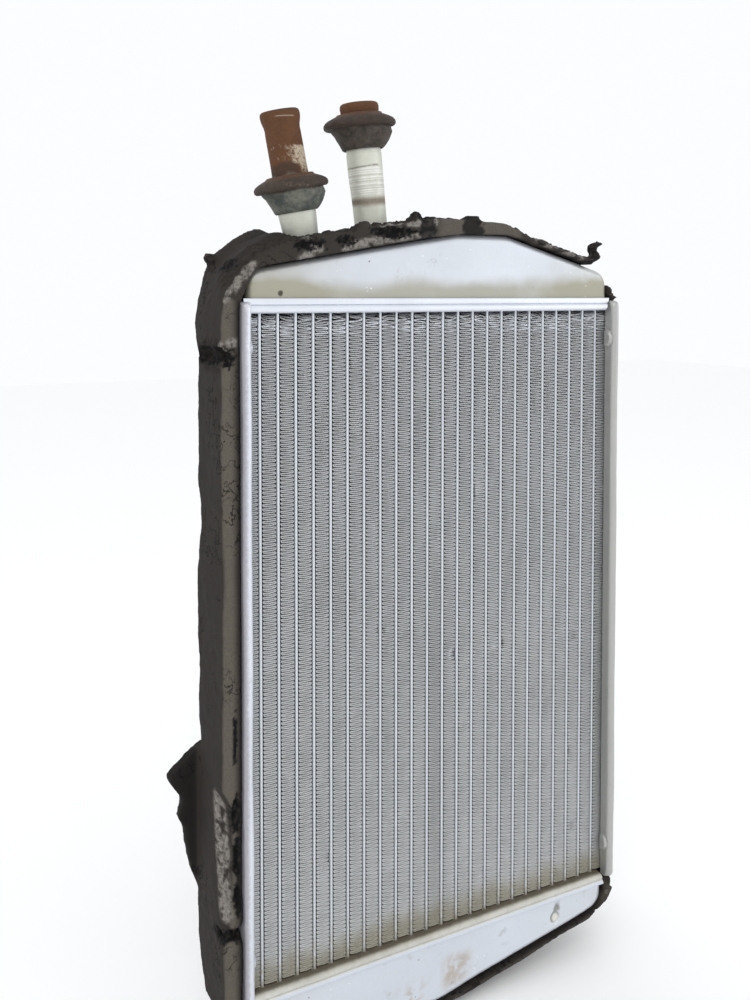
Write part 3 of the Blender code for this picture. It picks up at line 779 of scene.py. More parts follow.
upper_tank = make_tank("upper_tank_shell", TANK_TOP, 1, 8 * MM,
                       ((-60 * MM, TANK_TOP + 9 * MM, 14 * MM, 0.5 * MM),
                        (70 * MM, TANK_TOP + 10 * MM, 9 * MM, 0.4 * MM)))
put(drill(upper_tank, TANK_HOLE), "core", "tank_aluminium", upper_tank_metal, "upper_tank")
lower_tank = make_tank("lower_tank_shell", TANK_BOTTOM, -1, 2 * MM,
                       ((104 * MM, 31 * MM, 5 * MM, 0.9 * MM), (20 * MM, 24 * MM, 16 * MM, 0.6 * MM)))
put(apply_modifiers(lower_tank), "core", "tank_aluminium", lower_tank_metal, "lower_tank")
print("tanks:", len(upper_tank.data.polygons), "and", len(lower_tank.data.polygons), "faces")

# %% [markdown]
# ## The side plates
# A side plate is one strip of sheet with a half-round bead along each edge. The section is swept up
# in short steps, so the bead can wander a little, round off at its ends, and carry the two pressed
# half-moons that locate the block. The right plate is the left one turned half a turn.

# %% Side plates
plate_low, plate_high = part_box("left_side_plate")
PLATE_EDGE = -plate_low.x
PLATE_FRONT = -plate_low.y
BEAD = 2.5 * MM
PLATE_SHEET = 1.1 * MM
TAB_RADIUS = 5.2 * MM
TAB_HEIGHTS = (CORE_TOP - 16 * MM, CORE_BOTTOM + 17.6 * MM)


def plate_section(steps=14):
    bead_x = -PLATE_EDGE + BEAD
    bead_y = PLATE_FRONT - BEAD
    lip = FIN_DEPTH + 0.6 * MM

    def half_turn(radius):
        angles = [math.pi * i / steps for i in range(steps + 1)]
        return [(bead_x + radius * math.cos(a), -bead_y - radius * math.sin(a)) for a in angles]

    outer, inner = half_turn(BEAD), half_turn(BEAD - PLATE_SHEET)
    runs = [lip + (bead_y - lip) * i / 12 for i in range(12)]
    outside = [(bead_x + BEAD, -y) for y in runs] + outer
    inside_ring = [(bead_x + BEAD - PLATE_SHEET, -y) for y in runs] + inner
    outside += [(x, -y) for x, y in reversed(outside)]
    inside_ring += [(x, -y) for x, y in reversed(inside_ring)]
    return outside + inside_ring[::-1]


def tab_bulge(y, z):
    """Height of the pressed half-moons on the bead's inner face."""
    edge = FIN_DEPTH + 0.9 * MM
    for height in TAB_HEIGHTS:
        far = math.hypot(abs(y) - edge, z - height)
        if far < TAB_RADIUS + 0.6 * MM and abs(y) > edge - 0.2 * MM:
            groove = -0.35 * MM * smoothstep(TAB_RADIUS - 0.7 * MM, TAB_RADIUS, far)
            return 0.95 * MM * smoothstep(TAB_RADIUS, TAB_RADIUS - 0.9 * MM, far) + groove
    return 0.0


def make_plate(name, turn):
    section = plate_section()
    length = plate_high.z - plate_low.z
    rows = 330
    inner_x = -PLATE_EDGE + 2 * BEAD
    rings = []
    for i in range(rows + 1):
        z = plate_low.z + length * i / rows
        from_end = min(z - plate_low.z, plate_high.z - z)
        back = 2.6 * MM * (1 - math.sqrt(max(0.0, 1 - (1 - min(1.0, from_end / (3.4 * MM))) ** 2)))
        ring = []
        for x, y in section:
            at_bead = smoothstep(FIN_DEPTH, PLATE_FRONT, abs(y))
            sway = noise.noise(Vector((turn * 9 + 3, y * 20, z * 22))) * 0.45 * MM * at_bead
            ding = noise.noise(Vector((turn * 5, y * 60, z * 130))) * 0.12 * MM * at_bead
            bulge = tab_bulge(y, z) if x > inner_x - PLATE_SHEET * 1.5 else 0.0
            spot = Vector((x + sway + ding + bulge, y - math.copysign(back * at_bead, y), z))
            spot.rotate(Matrix.Rotation(turn, 3, "Z"))
            ring.append(spot)
        rings.append(ring)
    bm = bmesh.new()
    loft(bm, rings)
    return put(finish_mesh(name, bm, 50), "core", "plate_aluminium", plate_metal)


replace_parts(make_plate("left_plate", 0.0), "left_side_plate")
right_plate = make_plate("right_plate", math.pi)
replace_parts(right_plate, "right_side_plate")
print("side plates:", len(right_plate.data.polygons), "faces each")

# %% [markdown]
# ## Hose spigots
# The spigots are turned shapes on a leaning axis, measured down from their open ends: a rolled bead
# that holds the hose, a straight neck, and a slight flare above the tank. Heights along the pipe are
# what the wear follows too, so its finish measures the drop below the open end with one dot product.

# %% Spigots
def turned(name, profile, end, axis, segments=72, wobble=0.0, seed=0.0, shift=None):
    """Spins a closed (radius, drop below the end) profile about the pipe's axis.

    shift(radius, drop) slides a ring across the axis."""
    across = Vector((axis.z, 0, -axis.x))
    rings = []
    for radius, drop in profile:
        ring = []
        for i in range(segments):
            angle = math.tau * i / segments
            way = across * math.cos(angle) + Vector((0, math.sin(angle), 0))
            uneven = noise.noise(way * 1.6 + Vector((seed, drop * 90, 0))) * wobble
            slid = across * (shift(radius, drop) if shift else 0.0)
            ring.append(end - axis * drop + way * (radius + uneven) + slid)
        rings.append(ring)
    bm = bmesh.new()
    loft(bm, rings + rings[:1], caps=False)
    return finish_mesh(name, bm, 42)


def spigot_profile(flare, flare_drop):
    """Down the outside and back up the bore; flare is the radius just under the grommet."""
    bore, neck, crown, root = 7.8 * MM, 9.0 * MM, 10.1 * MM, 8.45 * MM
    outside = [(bore, 0.3 * MM), (bore + 0.4 * MM, 0.0), (crown - 1.3 * MM, 0.0),
               (crown - 0.5 * MM, 0.5 * MM), (crown - 0.1 * MM, 1.4 * MM), (crown, 2.6 * MM),
               (crown - 0.15 * MM, 4.4 * MM), (neck + 0.55 * MM, 6.0 * MM), (neck + 0.1 * MM, 7.6 * MM),
               (neck - 0.1 * MM, 9.5 * MM)]
    for i in range(9):
        outside.append((neck, (11 + 2.0 * i) * MM))
    steps = 12
    for i in range(steps + 1):
        t = i / steps
        drop = flare_drop + (SPIGOT_ROOT - 2 * MM - flare_drop) * t
        radius = flare + (root - flare) * smoothstep(0.0, 0.72, t)
        outside.append((radius, drop))
    outside.append((bore, SPIGOT_ROOT - 2 * MM))
    inner = [(bore, SPIGOT_ROOT * (1 - i / 8) - 2 * MM) for i in range(1, 8)]
    return outside + inner


def spigot_finish(name, end, axis, marks):
    """marks(drop, across, cloud, fine, patch) gives the rust, scale, dark and machined masks."""
    place, apply = paint(name, 0.35, **{"Specular IOR Level": 0.3})
    drop = axis.dot(end) - place.dot(tuple(axis))
    across = place.dot((axis.z, 0.0, -axis.x)) - end.dot(Vector((axis.z, 0, -axis.x)))
    cloud = place.noise(75.0, 4.0, 0.6)
    fine = place.noise(650.0, 4.0, 0.7)
    rings = drop.node("ShaderNodeTexNoise", {"Vector": drop.node("ShaderNodeCombineXYZ", {0: drop * 900}),
                                             "Scale": 1.0, "Detail": 3.0})
    patch = place.noise(230.0, 5.0, 0.65)
    rust, scale, dark, machined = marks(drop, across, cloud, fine, patch)
    colour = (cloud * 0.7 + fine * 0.35).colour((0.40, 0.405, 0.345), (0.68, 0.69, 0.61))
    colour = (machined * rings.rise(0.42, 0.62) * patch.rise(0.3, 0.6)).colour(colour, (0.80, 0.79, 0.77))
    colour = (machined * rings.rise(0.50, 0.36) * 0.5).colour(colour, (0.36, 0.345, 0.33))
    rusty = (cloud * 0.6 + fine * 0.5).colour((0.050, 0.023, 0.012), (0.185, 0.085, 0.042))
    colour = rust.colour(colour, rusty)
    colour = scale.colour(colour, fine.colour((0.33, 0.25, 0.17), (0.66, 0.58, 0.46)))
    colour = dark.colour(colour, (0.060, 0.042, 0.032))
    rough = 0.42 + rust * 0.35 + scale * 0.3 + cloud * 0.1
    return apply(colour, rough, fine * (0.4 + rust + scale * 1.6) + cloud * 0.6, 0.00022)


def inlet_marks(drop, across, cloud, fine, patch):
    ragged = drop + (cloud - 0.5) * 0.010
    rust = ragged.rise(33.5 * MM, 31 * MM)
    cream = (ragged - across * 0.16).band(17.5 * MM, 27.5 * MM, 0.6 * MM)
    cream = cream * (fine * 0.55 + cloud * 0.6).rise(0.44, 0.60)
    tail = across.rise(1.5 * MM, 4 * MM) * ragged.band(21 * MM, 32 * MM, 1 * MM) * fine.rise(0.40, 0.56)
    crease = (drop - across * 0.10).band(3.6 * MM, 4.1 * MM, 0.25 * MM) * across.band(-6 * MM, 3 * MM, 1 * MM)
    cream = cream * (patch + across * 26).rise(0.40, 0.56)
    scale = (cream + tail * patch.rise(0.38, 0.50) + crease * 0.7).clamp()
    soot = ragged.band(27 * MM, 34 * MM, 1.2 * MM) * across.rise(3 * MM, -1 * MM) * 0.75
    rim = (drop - across * 0.10).band(0.0, 1.1 * MM, 0.5 * MM) * 0.55
    return rust, scale, (soot + rim).clamp() * (1 - scale), drop * 0.0


def outlet_marks(drop, across, cloud, fine, patch):
    ragged = drop + (cloud - 0.5) * 0.003
    rust = (ragged.rise(24 * MM, 21 * MM) + ragged.band(48.6 * MM, 52.4 * MM, 1.4 * MM) * 0.62).clamp()
    line = ragged.band(32.6 * MM, 33.4 * MM, 0.45 * MM) * 0.62
    line = (line + drop.band(34.6 * MM, 34.9 * MM, 0.4 * MM) * 0.30) * patch.rise(0.36, 0.52)
    band = ragged.band(49.6 * MM, 51.4 * MM, 1.0 * MM) * (fine * 0.5 + cloud * 0.5).rise(0.38, 0.62) * 0.55
    machined = ragged.band(34 * MM, 47.5 * MM, 1.2 * MM)
    return rust, fine.rise(0.66, 0.75) * 0.3, (line + band).clamp(), machined


SPIGOTS = (("inlet", INLET_END, INLET_AXIS, 9.7 * MM, 47 * MM, inlet_marks),
           ("outlet", OUTLET_END, OUTLET_AXIS, 9.2 * MM, 26 * MM, outlet_marks))
for number, (side, end, axis, flare, flare_drop, marks) in enumerate(SPIGOTS):
    metal = spigot_finish(side + "_spigot_weathered", end, axis, marks)
    spigot = turned(side + "_spigot", spigot_profile(flare, flare_drop), end, axis, wobble=0.16 * MM,
                    seed=number * 7)
    put(spigot, "core", "pipe_aluminium", metal, side + "_pipe")
print("spigots lean", round(math.degrees(INLET_AXIS.angle((0, 0, 1))), 1), "and",
      round(math.degrees(OUTLET_AXIS.angle((0, 0, 1))), 1), "degrees")

# %% [markdown]
# ## Rubber grommets
# Each grommet seals its pipe where it leaves the heater housing: a rolled flange, a low hub that
# takes the pipe's bead, and a sleeve that tapers inwards. Both were moulded in one tool, but the
# left one has gone grey and the right one is still dark. They slide on their pipes, so each rides on
# its own body, and the bore is wide enough to pass the flare and the bead.

# %% Grommets
GROMMET_BORE = 9.9 * MM
BEAD_POCKET = 10.45 * MM
INLET_GROMMET_DROP = 37.8 * MM
OUTLET_GROMMET_DROP = 11.1 * MM
INLET_GROMMET_FALL = 13.5 * MM
OUTLET_GROMMET_FALL = 40 * MM
GROMMET_OUTLINE = (
    (10.45, -5.4), (10.9, -5.8), (11.7, -5.6), (12.4, -4.8), (14.2, -4.0), (16.2, -3.1), (17.8, -2.1),
    (18.7, -1.0), (18.9, 0.1), (18.6, 1.1), (17.8, 1.7), (16.9, 1.6), (16.2, 1.2), (15.8, 1.6),
    (15.6, 3.0), (15.1, 4.8), (14.2, 6.8), (13.1, 8.9), (12.0, 10.8), (11.2, 12.1), (10.4, 12.8))


def grommet_profile(drop):
    outside = [(r * MM, drop + d * MM) for r, d in GROMMET_OUTLINE]
    bore = [(GROMMET_BORE, drop + d * MM) for d in (12.5, 8.0, 3.0, -1.2)]
    return outside + bore + [(BEAD_POCKET, drop - 1.6 * MM), (BEAD_POCKET, drop - 4.0 * MM)]


def rubber_finish(name, end, axis, drop, body_dark, body_light, smear):
    """Weathered rubber: brown dust on the rolled flange, the bare body below it, pale scuffs."""
    place, apply = paint(name, 0.0, **{"Specular IOR Level": 0.25})
    level = axis.dot(end) - place.dot(tuple(axis)) - drop
    cloud = place.noise(70.0, 4.0, 0.6)
    fine = place.noise(520.0, 4.0, 0.7)
    flange = (level + (cloud - 0.5) * 0.004).rise(3.2 * MM, 1.8 * MM)
    hub = (level + (fine - 0.5) * 0.002).rise(-3.2 * MM, -4.6 * MM)
    scuffs = place.noise(150.0, 5.0, 0.7).rise(0.56, 0.72) * level.rise(3 * MM, 8 * MM)
    patch = place.noise(130.0, 5.0, 0.65).rise(0.34, 0.66)
    colour = (patch * 0.7 + fine * 0.4).colour(body_dark, body_light)
    colour = (scuffs * smear).colour(colour, (0.24, 0.26, 0.24))
    speckle = place.noise(260.0, 5.0, 0.75).rise(0.60, 0.70)
    colour = (flange * 0.94).colour(colour, fine.colour((0.016, 0.011, 0.009), (0.070, 0.048, 0.036)))
    colour = (flange * speckle * 0.6).colour(colour, (0.21, 0.155, 0.115))
    colour = (hub * 0.7).colour(colour, fine.colour((0.05, 0.024, 0.013), (0.16, 0.080, 0.045)))
    return apply(colour, 0.58 + cloud * 0.25, fine + cloud * 0.5, 0.00020)


GROMMETS = (("inlet", INLET_END, INLET_AXIS, INLET_GROMMET_DROP,
             (0.038, 0.046, 0.046), (0.175, 0.178, 0.145), 0.75),
            ("outlet", OUTLET_END, OUTLET_AXIS, OUTLET_GROMMET_DROP,
             (0.018, 0.015, 0.013), (0.085, 0.070, 0.056), 0.25))
for number, (side, end, axis, drop, dark, light, smear) in enumerate(GROMMETS):
    rubber = rubber_finish(side + "_grommet_rubber", end, axis, drop, dark, light, smear)
    def shift(radius, level, seat=drop):
        """The flange has crept to one side, and the sleeve hangs to the other; the bore has not moved."""
        free = smoothstep(10.6 * MM, 13 * MM, radius)
        return free * (-0.8 * MM + 1.7 * MM * smoothstep(1.5 * MM, 5 * MM, level - seat))

    grommet = turned(side + "_rubber_grommet", grommet_profile(drop), end, axis, wobble=0.30 * MM,
                     seed=11 + number, shift=shift)
    put(grommet, side + "_grommet", "grommet_rubber", rubber, side + "_grommet")
print("grommets:", len(grommet.data.polygons), "faces each")

# %% [markdown]
# ## Perished foam
# The wrap is about a centimetre of black foam that has hardened, shrunk and torn. It is built the way
# a modeller would in clay: long slabs with a measured front and back edge, lumps where the foam has
# folded up, and a loose flap. A voxel remesh melts them into one skin. Bites then push that skin in where the
# foam is torn, a second remesh evens it out, and noise crumbles it: finely everywhere, coarsely on
# the torn edges. How torn and how pale each point is, and how dark it is painted, is kept in three
# attributes that the finish reads: the darkening is painted shade in the torn hollows and in the gap
# beside the side plate, and darker patches on the flap, two folds on top and the thin right end.
# Last, the skin is sunk wherever a grommet at its lowest stop would reach into it.

# %% Foam tools
FOAM_VOXEL = 1.1 * MM
FOAM_ATTRIBUTES = ("torn", "pale", "void")


def slab(bm, rows, ring, step):
    """Lofts ring(place, *values) between rows of numbers, at even steps of the first column."""
    rows = sorted(rows)
    count = max(2, round((rows[-1][0] - rows[0][0]) / step))
    rings = []
    for i in range(count + 1):
        place = rows[0][0] + (rows[-1][0] - rows[0][0]) * i / count
        values = [between(rows, place, column) for column in range(1, len(rows[0]))]
        rings.append([Vector(point) * MM for point in ring(place, *values)])
    loft(bm, rings)


def lump(bm, centre, radii, seed, rough=0.35):
    """An uneven ball of foam."""
    made = bmesh.ops.create_icosphere(bm, subdivisions=3, radius=1.0)["verts"]
    for v in made:
        swell = 1 + rough * noise.noise(v.co * 1.7 + Vector((seed, 0, 0)))
        v.co = Vector(c + r * k * swell for c, r, k in zip(centre, radii, v.co)) * MM


def rope(bm, points, radius):
    """A closed strand through a few points, for curled shreds."""
    rings = []
    path = [Vector(p) * MM for p in points]
    for i, point in enumerate(path):
        along = (path[min(i + 1, len(path) - 1)] - path[max(i - 1, 0)]).normalized()
        across = along.cross(Vector((0, 1, 0))).normalized()
        thick = radius * MM * (0.55 if i in (0, len(path) - 1) else 1.0)
        rings.append([point + (across * math.cos(a) + Vector((0, 2.2, 0)) * math.sin(a)) * thick
                      for a in (math.tau * k / 10 for k in range(10))])
    loft(bm, rings)


def remesh(item, voxel):
    skin = item.modifiers.new("skin", "REMESH")
    skin.mode = "VOXEL"
    skin.voxel_size = voxel
    return apply_modifiers(item)


def bite(item, bites):
    """Pushes the skin in: each bite is (centre, radii, push), in millimetres."""
    for vertex in item.data.vertices:
        start = vertex.co / MM
        shift = Vector()
        ragged = noise.noise(start * 0.45) * 0.42
        for centre, radii, push in bites:
            gone = Vector((s - c) / r for s, c, r in zip(start, centre, radii)).length + ragged
            if gone < 1:
                shift += Vector(push) * smoothstep(1.0, 0.72, gone)
        vertex.co = (start + shift) * MM


def capsule(point, start, end, radius):
    """1 on the line from start to end, 0 past radius, in millimetres."""
    line = Vector(end) - Vector(start)
    t = min(1.0, max(0.0, (point - Vector(start)).dot(line) / max(line.length_squared, 1e-9)))
    return smoothstep(radius, radius * 0.5, (point - (Vector(start) + line * t)).length)


def crumble(item, tears, ragged, bites, pale_at, void_at, held):
    """Roughens the skin along its normals and stores how torn and pale each point is, and how dark it is
    painted, with painted shade in the bites' hollows.
    """
    mesh = item.data
    for name in FOAM_ATTRIBUTES:
        mesh.attributes.new(name, "FLOAT", "POINT")
    torn, pale, void = (mesh.attributes[name] for name in FOAM_ATTRIBUTES)
    normals = [v.normal.copy() for v in mesh.vertices]
    for i, vertex in enumerate(mesh.vertices):
        point = vertex.co / MM
        fray = max((capsule(point, *tear) for tear in tears), default=0.0)
        fray *= smoothstep(-0.45, 0.0, noise.noise(point * 0.30))
        rough = max((capsule(point, *tear) for tear in ragged), default=0.0)
        torn.data[i].value = fray
        pale.data[i].value = pale_at(point)
        uneven = noise.noise(point * 0.5) * 0.45 + noise.noise(point * 1.3) * 0.3
        # Painted shade: points inside a bite's hollow are painted near-black.
        depths = (Vector((p - c) / (r + 0.6) for p, c, r in zip(point, centre, radii)).length
                  for centre, radii, _ in bites)
        deep = max((smoothstep(1.06, 0.88, uneven + depth) for depth in depths), default=0.0)
        void.data[i].value = max(deep, void_at(point))
        swell = noise.noise(point * 0.045) * 0.9 + noise.noise(point * 0.16) * 0.35
        grain = noise.noise(point * 0.75) * 0.16
        shreds = noise.noise(point * 0.42) * 1.3 + noise.noise(point * 0.95) * 0.9
        vertex.co += normals[i] * (swell + grain + shreds * max(fray, rough)) * MM * held(point)
    mesh.shade_smooth()
    return item


def foam_finish():
    """Black closed-cell foam: dull skin, paler grainy cut faces, crumbly grey where it is torn, near-black
    painted shade in torn hollows and beside the side plate, and darker patches elsewhere.
    """
    place, apply = paint("foam_perished", 0.0, **{"Specular IOR Level": 0.2})
    cloud = place.noise(32.0, 5.0, 0.62)
    grain = place.noise(1500.0, 3.0, 0.7)
    coarse = place.noise(480.0, 4.0, 0.75)
    crease = place.math("ABSOLUTE", place.noise(95.0, 4.0, 0.6) - 0.5)
    crack = crease.rise(0.018, 0.004) * cloud.rise(0.50, 0.60)
    torn, pale, void = (place.node("ShaderNodeAttribute", output=2, attribute_name=name)
                        for name in FOAM_ATTRIBUTES)
    skin = (cloud * 0.8 + grain * 0.3).colour((0.013, 0.011, 0.010), (0.038, 0.032, 0.028))
    cut = (grain * 0.8 + coarse * 0.3).colour((0.038, 0.033, 0.027), (0.150, 0.132, 0.108))
    shred = (coarse * 0.9 + grain * 0.3 - 0.05).rise(0.36, 0.62)
    shred = shred.colour((0.050, 0.044, 0.041), (0.250, 0.230, 0.210))
    colour = pale.colour(skin, cut)
    colour = torn.colour(colour, shred)
    colour = (crack * (1 - torn) * 0.8).colour(colour, (0.006, 0.005, 0.005))
    # Painted shade in the torn hollows and beside the side plate, and darker patches on the flap, folds and
    # right end.
    colour = void.colour(colour, (0.0045, 0.0045, 0.005))
    return apply(colour, 0.86 + cloud * 0.1, grain * 0.5 + coarse * (0.6 + torn * 1.5) - crack * 1.5, 0.00035)


foam_skin = foam_finish()
print("foam voxels of", FOAM_VOXEL / MM, "mm")

# %% [markdown]
# ## The wrap up the left side and over the top
# The side slab's rows give, from the bottom up, its back edge, outer face, where its front corner is
# broken away, and its front edge. The top slab's rows follow the tank's roof and give the foam's
# height along the front and the back edge: it stands up in a fold at the left corner and thins out
# towards the right. These edges tore by chance and follow no rule, so they are short lists in
# millimetres.

# %% Left and top foam
SIDE_INNER = -115.3
SHOULDER = 384  # the side slab ends and the top slab begins
SIDE_ROWS = (  # height, back, outer, corner broken back to, front's outer edge, front
    (35, 13.5, -123.4, -19, -122, -20.5), (61, 20.5, -124.2, -19.5, -122.6, -21),
    (79, 19.8, -124.2, -19, -122.4, -21), (84, 19.7, -124.2, -14, -119.6, -21),
    (95, 19.2, -124.2, -12.5, -119.0, -21), (117, 18, -124.2, -10, -118.8, -20.5),
    (136, 17.5, -124.2, -6, -119.0, -21), (146, 17, -124.2, -4.5, -119.8, -21),
    (149, 16.5, -124.2, -20, -123.2, -21.2), (187, 16.2, -124.1, -20, -123.3, -21.2),
    (215, 18.6, -124.0, -20, -123.2, -21.2), (236, 18.5, -124.0, -19.5, -122.0, -21.2),
    (250, 18, -123.8, -18.5, -120.6, -21.2), (262, 16, -123.8, -18.8, -121.0, -21.2),
    (274, 12.7, -123.8, -19.6, -122.4, -21.2), (284, 14.5, -124, -20.2, -123.3, -21.2),
    (294, 18.5, -124, -20.3, -123.3, -21.2), (352, 17.3, -123.8, -20.3, -123.2, -21.2),
    (372, 20.1, -123.9, -20.3, -123.2, -21.2), (382, 20.1, -122.6, -19.5, -121.8, -21.0),
    (388, 19.5, -120.6, -16, -119.5, -19.0))
ROOF_ROWS = (  # across, roof, front edge, back edge
    (-122.5, 372, 382, 384.5), (-119.5, 372, 388, 397), (-115.6, 374, 393.5, 405.5),
    (-115.3, 385.3, 394, 406), (-113, 385.4, 396.5, 408.2), (-110.8, 391.0, 399.0, 409.5),
    (-109.3, 394.9, 401, 411), (-105.8, 398.7, 404, 413.5), (-102, 400.1, 406.5, 416),
    (-93.7, 401.6, 410, 420.2), (-89.4, 402.4, 412, 420.8), (-82, 403.6, 413.4, 416.5),
    (-74.8, 404.9, 415.2, 414.6), (-57.3, 407.9, 416.9, 417), (-47.3, 409.6, 420.4, 419.5),
    (-37.6, 411.2, 422.2, 421.5), (-23.1, 413.7, 423.4, 423.5), (-8, 416.2, 425.8, 425.6),
    (10.4, 418.3, 426.0, 426.2), (38.7, 418.7, 424.4, 425.4), (52, 416.0, 419.4, 421.0),
    (59.6, 413.9, 416.5, 418.4), (73.5, 409.9, 412.6, 414.4), (91.3, 404.8, 408.6, 409.4),
    (97, 403.1, 406.3, 406.8))
FLAP = (
    (-118, 161), (-122.5, 159.5), (-128, 155), (-138.4, 143.5), (-136.8, 140), (-132.8, 134),
    (-132.2, 130), (-134.4, 123), (-131, 117), (-129.6, 106), (-127.6, 95), (-122.6, 83), (-118, 80))
FOAM_FRONT = -21.2
FOAM_BACK = 20.0


def side_ring(z, back, outer, corner, front_outer, front):
    return ((SIDE_INNER, back, z), (outer + 1.0, back, z), (outer, back - 1.4, z), (outer, corner, z),
            (front_outer, front, z), (SIDE_INNER, front, z))


def roof_ring(x, roof, front, back):
    middle = (front + back) / 2 + 0.6
    return ((x, FOAM_FRONT, roof), (x, FOAM_FRONT, front - 0.8), (x, FOAM_FRONT + 1.2, front),
            (x, -6, middle), (x, 8, middle + 0.3), (x, FOAM_BACK - 1.2, back), (x, FOAM_BACK, back - 0.8),
            (x, FOAM_BACK, roof))


bm = bmesh.new()
slab(bm, SIDE_ROWS, side_ring, 4)
slab(bm, ROOF_ROWS, roof_ring, 3)
loft(bm, [[Vector((x, y + (x + 118) * lean, z)) * MM for x, z in FLAP]
          for y, lean in ((16.5, -0.10), (22.0, -0.22))])
for centre, radii, seed in (((-16.5, -16, 425.4), (2.9, 5, 4.2), 1), ((18, -15, 425.4), (4.6, 7, 3.4), 2),
                            ((-48, -17, 419.5), (5.5, 5, 3.2), 3), ((-66, -17, 414.5), (8, 5, 3.4), 4),
                            ((-117, 15.5, 404.6), (3.2, 4.5, 2.8), 5), ((-100, -14, 405), (8, 8, 4.5), 6),
                            ((60, -17, 415.5), (6, 4.5, 2.2), 7)):
    lump(bm, centre, radii, seed)
for i in range(70):
    x = -112 + 3.0 * i + noise.noise(Vector((i * 1.7, 0, 0))) * 3
    if x < 96 and not 4 < x < 42:
        y = -15.5 + noise.noise(Vector((i * 2.3, 5, 0))) * 6
        size = 1.5 + 1.6 * abs(noise.noise(Vector((i * 3.1, 9, 0))))
        lump(bm, (x, y, between(ROOF_ROWS, x, 2) - 0.6), (size * 1.3, size * 1.5, size), i + 40)
rope(bm, ((86, -18, 407.4), (93, -18.5, 406.8), (99, -18.5, 406.4), (102.2, -18.5, 408.2),
          (100.4, -18.5, 410.2), (98.0, -18.5, 411.8), (98.6, -18.5, 414.2), (101.5, -18.5, 415.0),
          (104.8, -18.5, 415.2)), 2.0)
for centre, radii, seed in (((100.6, -18.5, 407.4), (2.6, 3.4, 2.2), 8),
                            ((103.4, -18.5, 415.3), (2.2, 3.4, 1.9), 9)):
    lump(bm, centre, radii, seed, 0.2)
wrap = finish_mesh("foam_wrap_left_and_top", bm, 0, weld=1e-9)
remesh(wrap, FOAM_VOXEL)
wrap_bites = (
    ((-124.5, 2, 357.5), (6, 16, 4.6), (5.5, 0, 0)), ((-122.5, -13, 358.5), (5, 10, 4.0), (5.0, 0, 0)),
    ((-121.5, -22, 357), (3.6, 4, 3.8), (0, 4.5, 0)), ((-124, 21, 205), (6, 4.5, 5), (0, -3.6, 0)),
    ((-124, 20.5, 187.5), (6, 4.5, 4.6), (0, -4.2, 0)),
    ((-118.6, -21.5, 176), (0.5, 3.2, 13), (0, 3.2, 0)), ((-118.0, -21, 139), (1.9, 4, 9), (0, 4.2, 0)),
    ((-117.6, -21, 118), (1.5, 4, 11), (0, 3.8, 0)), ((-117.4, -21, 99), (1.3, 4, 8), (0, 3.6, 0)),
    ((-118.9, -21, 80.5), (7.0, 6, 3.6), (0, 6, 0)), ((-124.5, -15, 79), (4, 8, 3.0), (4.5, 0, 0)),
    ((-117, -6, 402), (5, 10, 4), (1.5, 0, -2.5)), ((-80, -21.5, 411), (9, 3, 2.6), (0, 2.6, 0)),
    ((-32, -21.5, 418), (13, 3, 2.6), (0, 2.4, 0)), ((-59, -21.5, 413), (5, 3, 2.4), (0, 2.4, 0)))
bite(wrap, wrap_bites)
remesh(wrap, FOAM_VOXEL)
drill(wrap, FOAM_HOLE)
wrap_tears = (
    ((-122.4, -20, 385), (-108.9, -20.5, 400.5), 3.4), ((-122.6, -10, 143), (-122.2, -13, 118), 6.6),
    ((-122.2, -13, 118), (-121.4, -16.5, 90), 5.0), ((-119, -20.5, 364), (-123.6, -19, 362), 3.2),
    ((-84, -21, 416), (-74, -21, 409), 3.0), ((-60, -21, 410), (-40, -21, 414), 3.0),
    ((-38, -21, 421.5), (-8, -21, 424), 2.6), ((-36, -21, 414), (-10, -21, 417.5), 2.0),
    ((58, -20, 416), (92, -20, 406.5), 2.0), ((-83, -21, 404), (-78, -21, 407), 3.0),
    ((96, -19, 408), (104, -18, 417), 1.5))
wrap_ragged = (
    ((-121, -12, 396), (-104, -12, 408), 9), ((-104, -14, 408), (-72, -14, 415), 10),
    ((-72, -14, 414), (-20, -14, 423), 9), ((-20, -14, 425), (-12, -14, 425), 6),
    ((44, -14, 423), (88, -14, 408), 4), ((-123, 4, 352), (-122, -18, 352), 4),
    ((-123, 4, 363), (-122, -18, 363), 4))


def clear_grommets(item):
    """Sinks the skin wherever a grommet at its lowest stop would reach into it."""
    sleeve = sorted((r * MM, d * MM) for r, d in GROMMET_OUTLINE if d > 1.5)
    for end, axis, lowest in ((INLET_END, INLET_AXIS, INLET_GROMMET_DROP + INLET_GROMMET_FALL),
                              (OUTLET_END, OUTLET_AXIS, OUTLET_GROMMET_DROP + OUTLET_GROMMET_FALL)):
        for vertex in item.data.vertices:
            drop = (end - vertex.co).dot(axis)
            radius = (vertex.co - end + axis * drop).length - 1.6 * MM
            if radius < 17.5 * MM:
                floor_drop = lowest + between(sleeve, radius) + 0.6 * MM
                vertex.co -= axis * max(0.0, floor_drop - drop)


def wrap_pale(point):
    front = smoothstep(-18.2, -20.2, point.y)
    if point.z < SHOULDER:
        return front * smoothstep(-115.8, -120.2, point.x)
    smooth_top = smoothstep(-10, -2, point.x) * smoothstep(50, 44, point.x)
    return front * (0.12 + 0.75 * smooth_top)


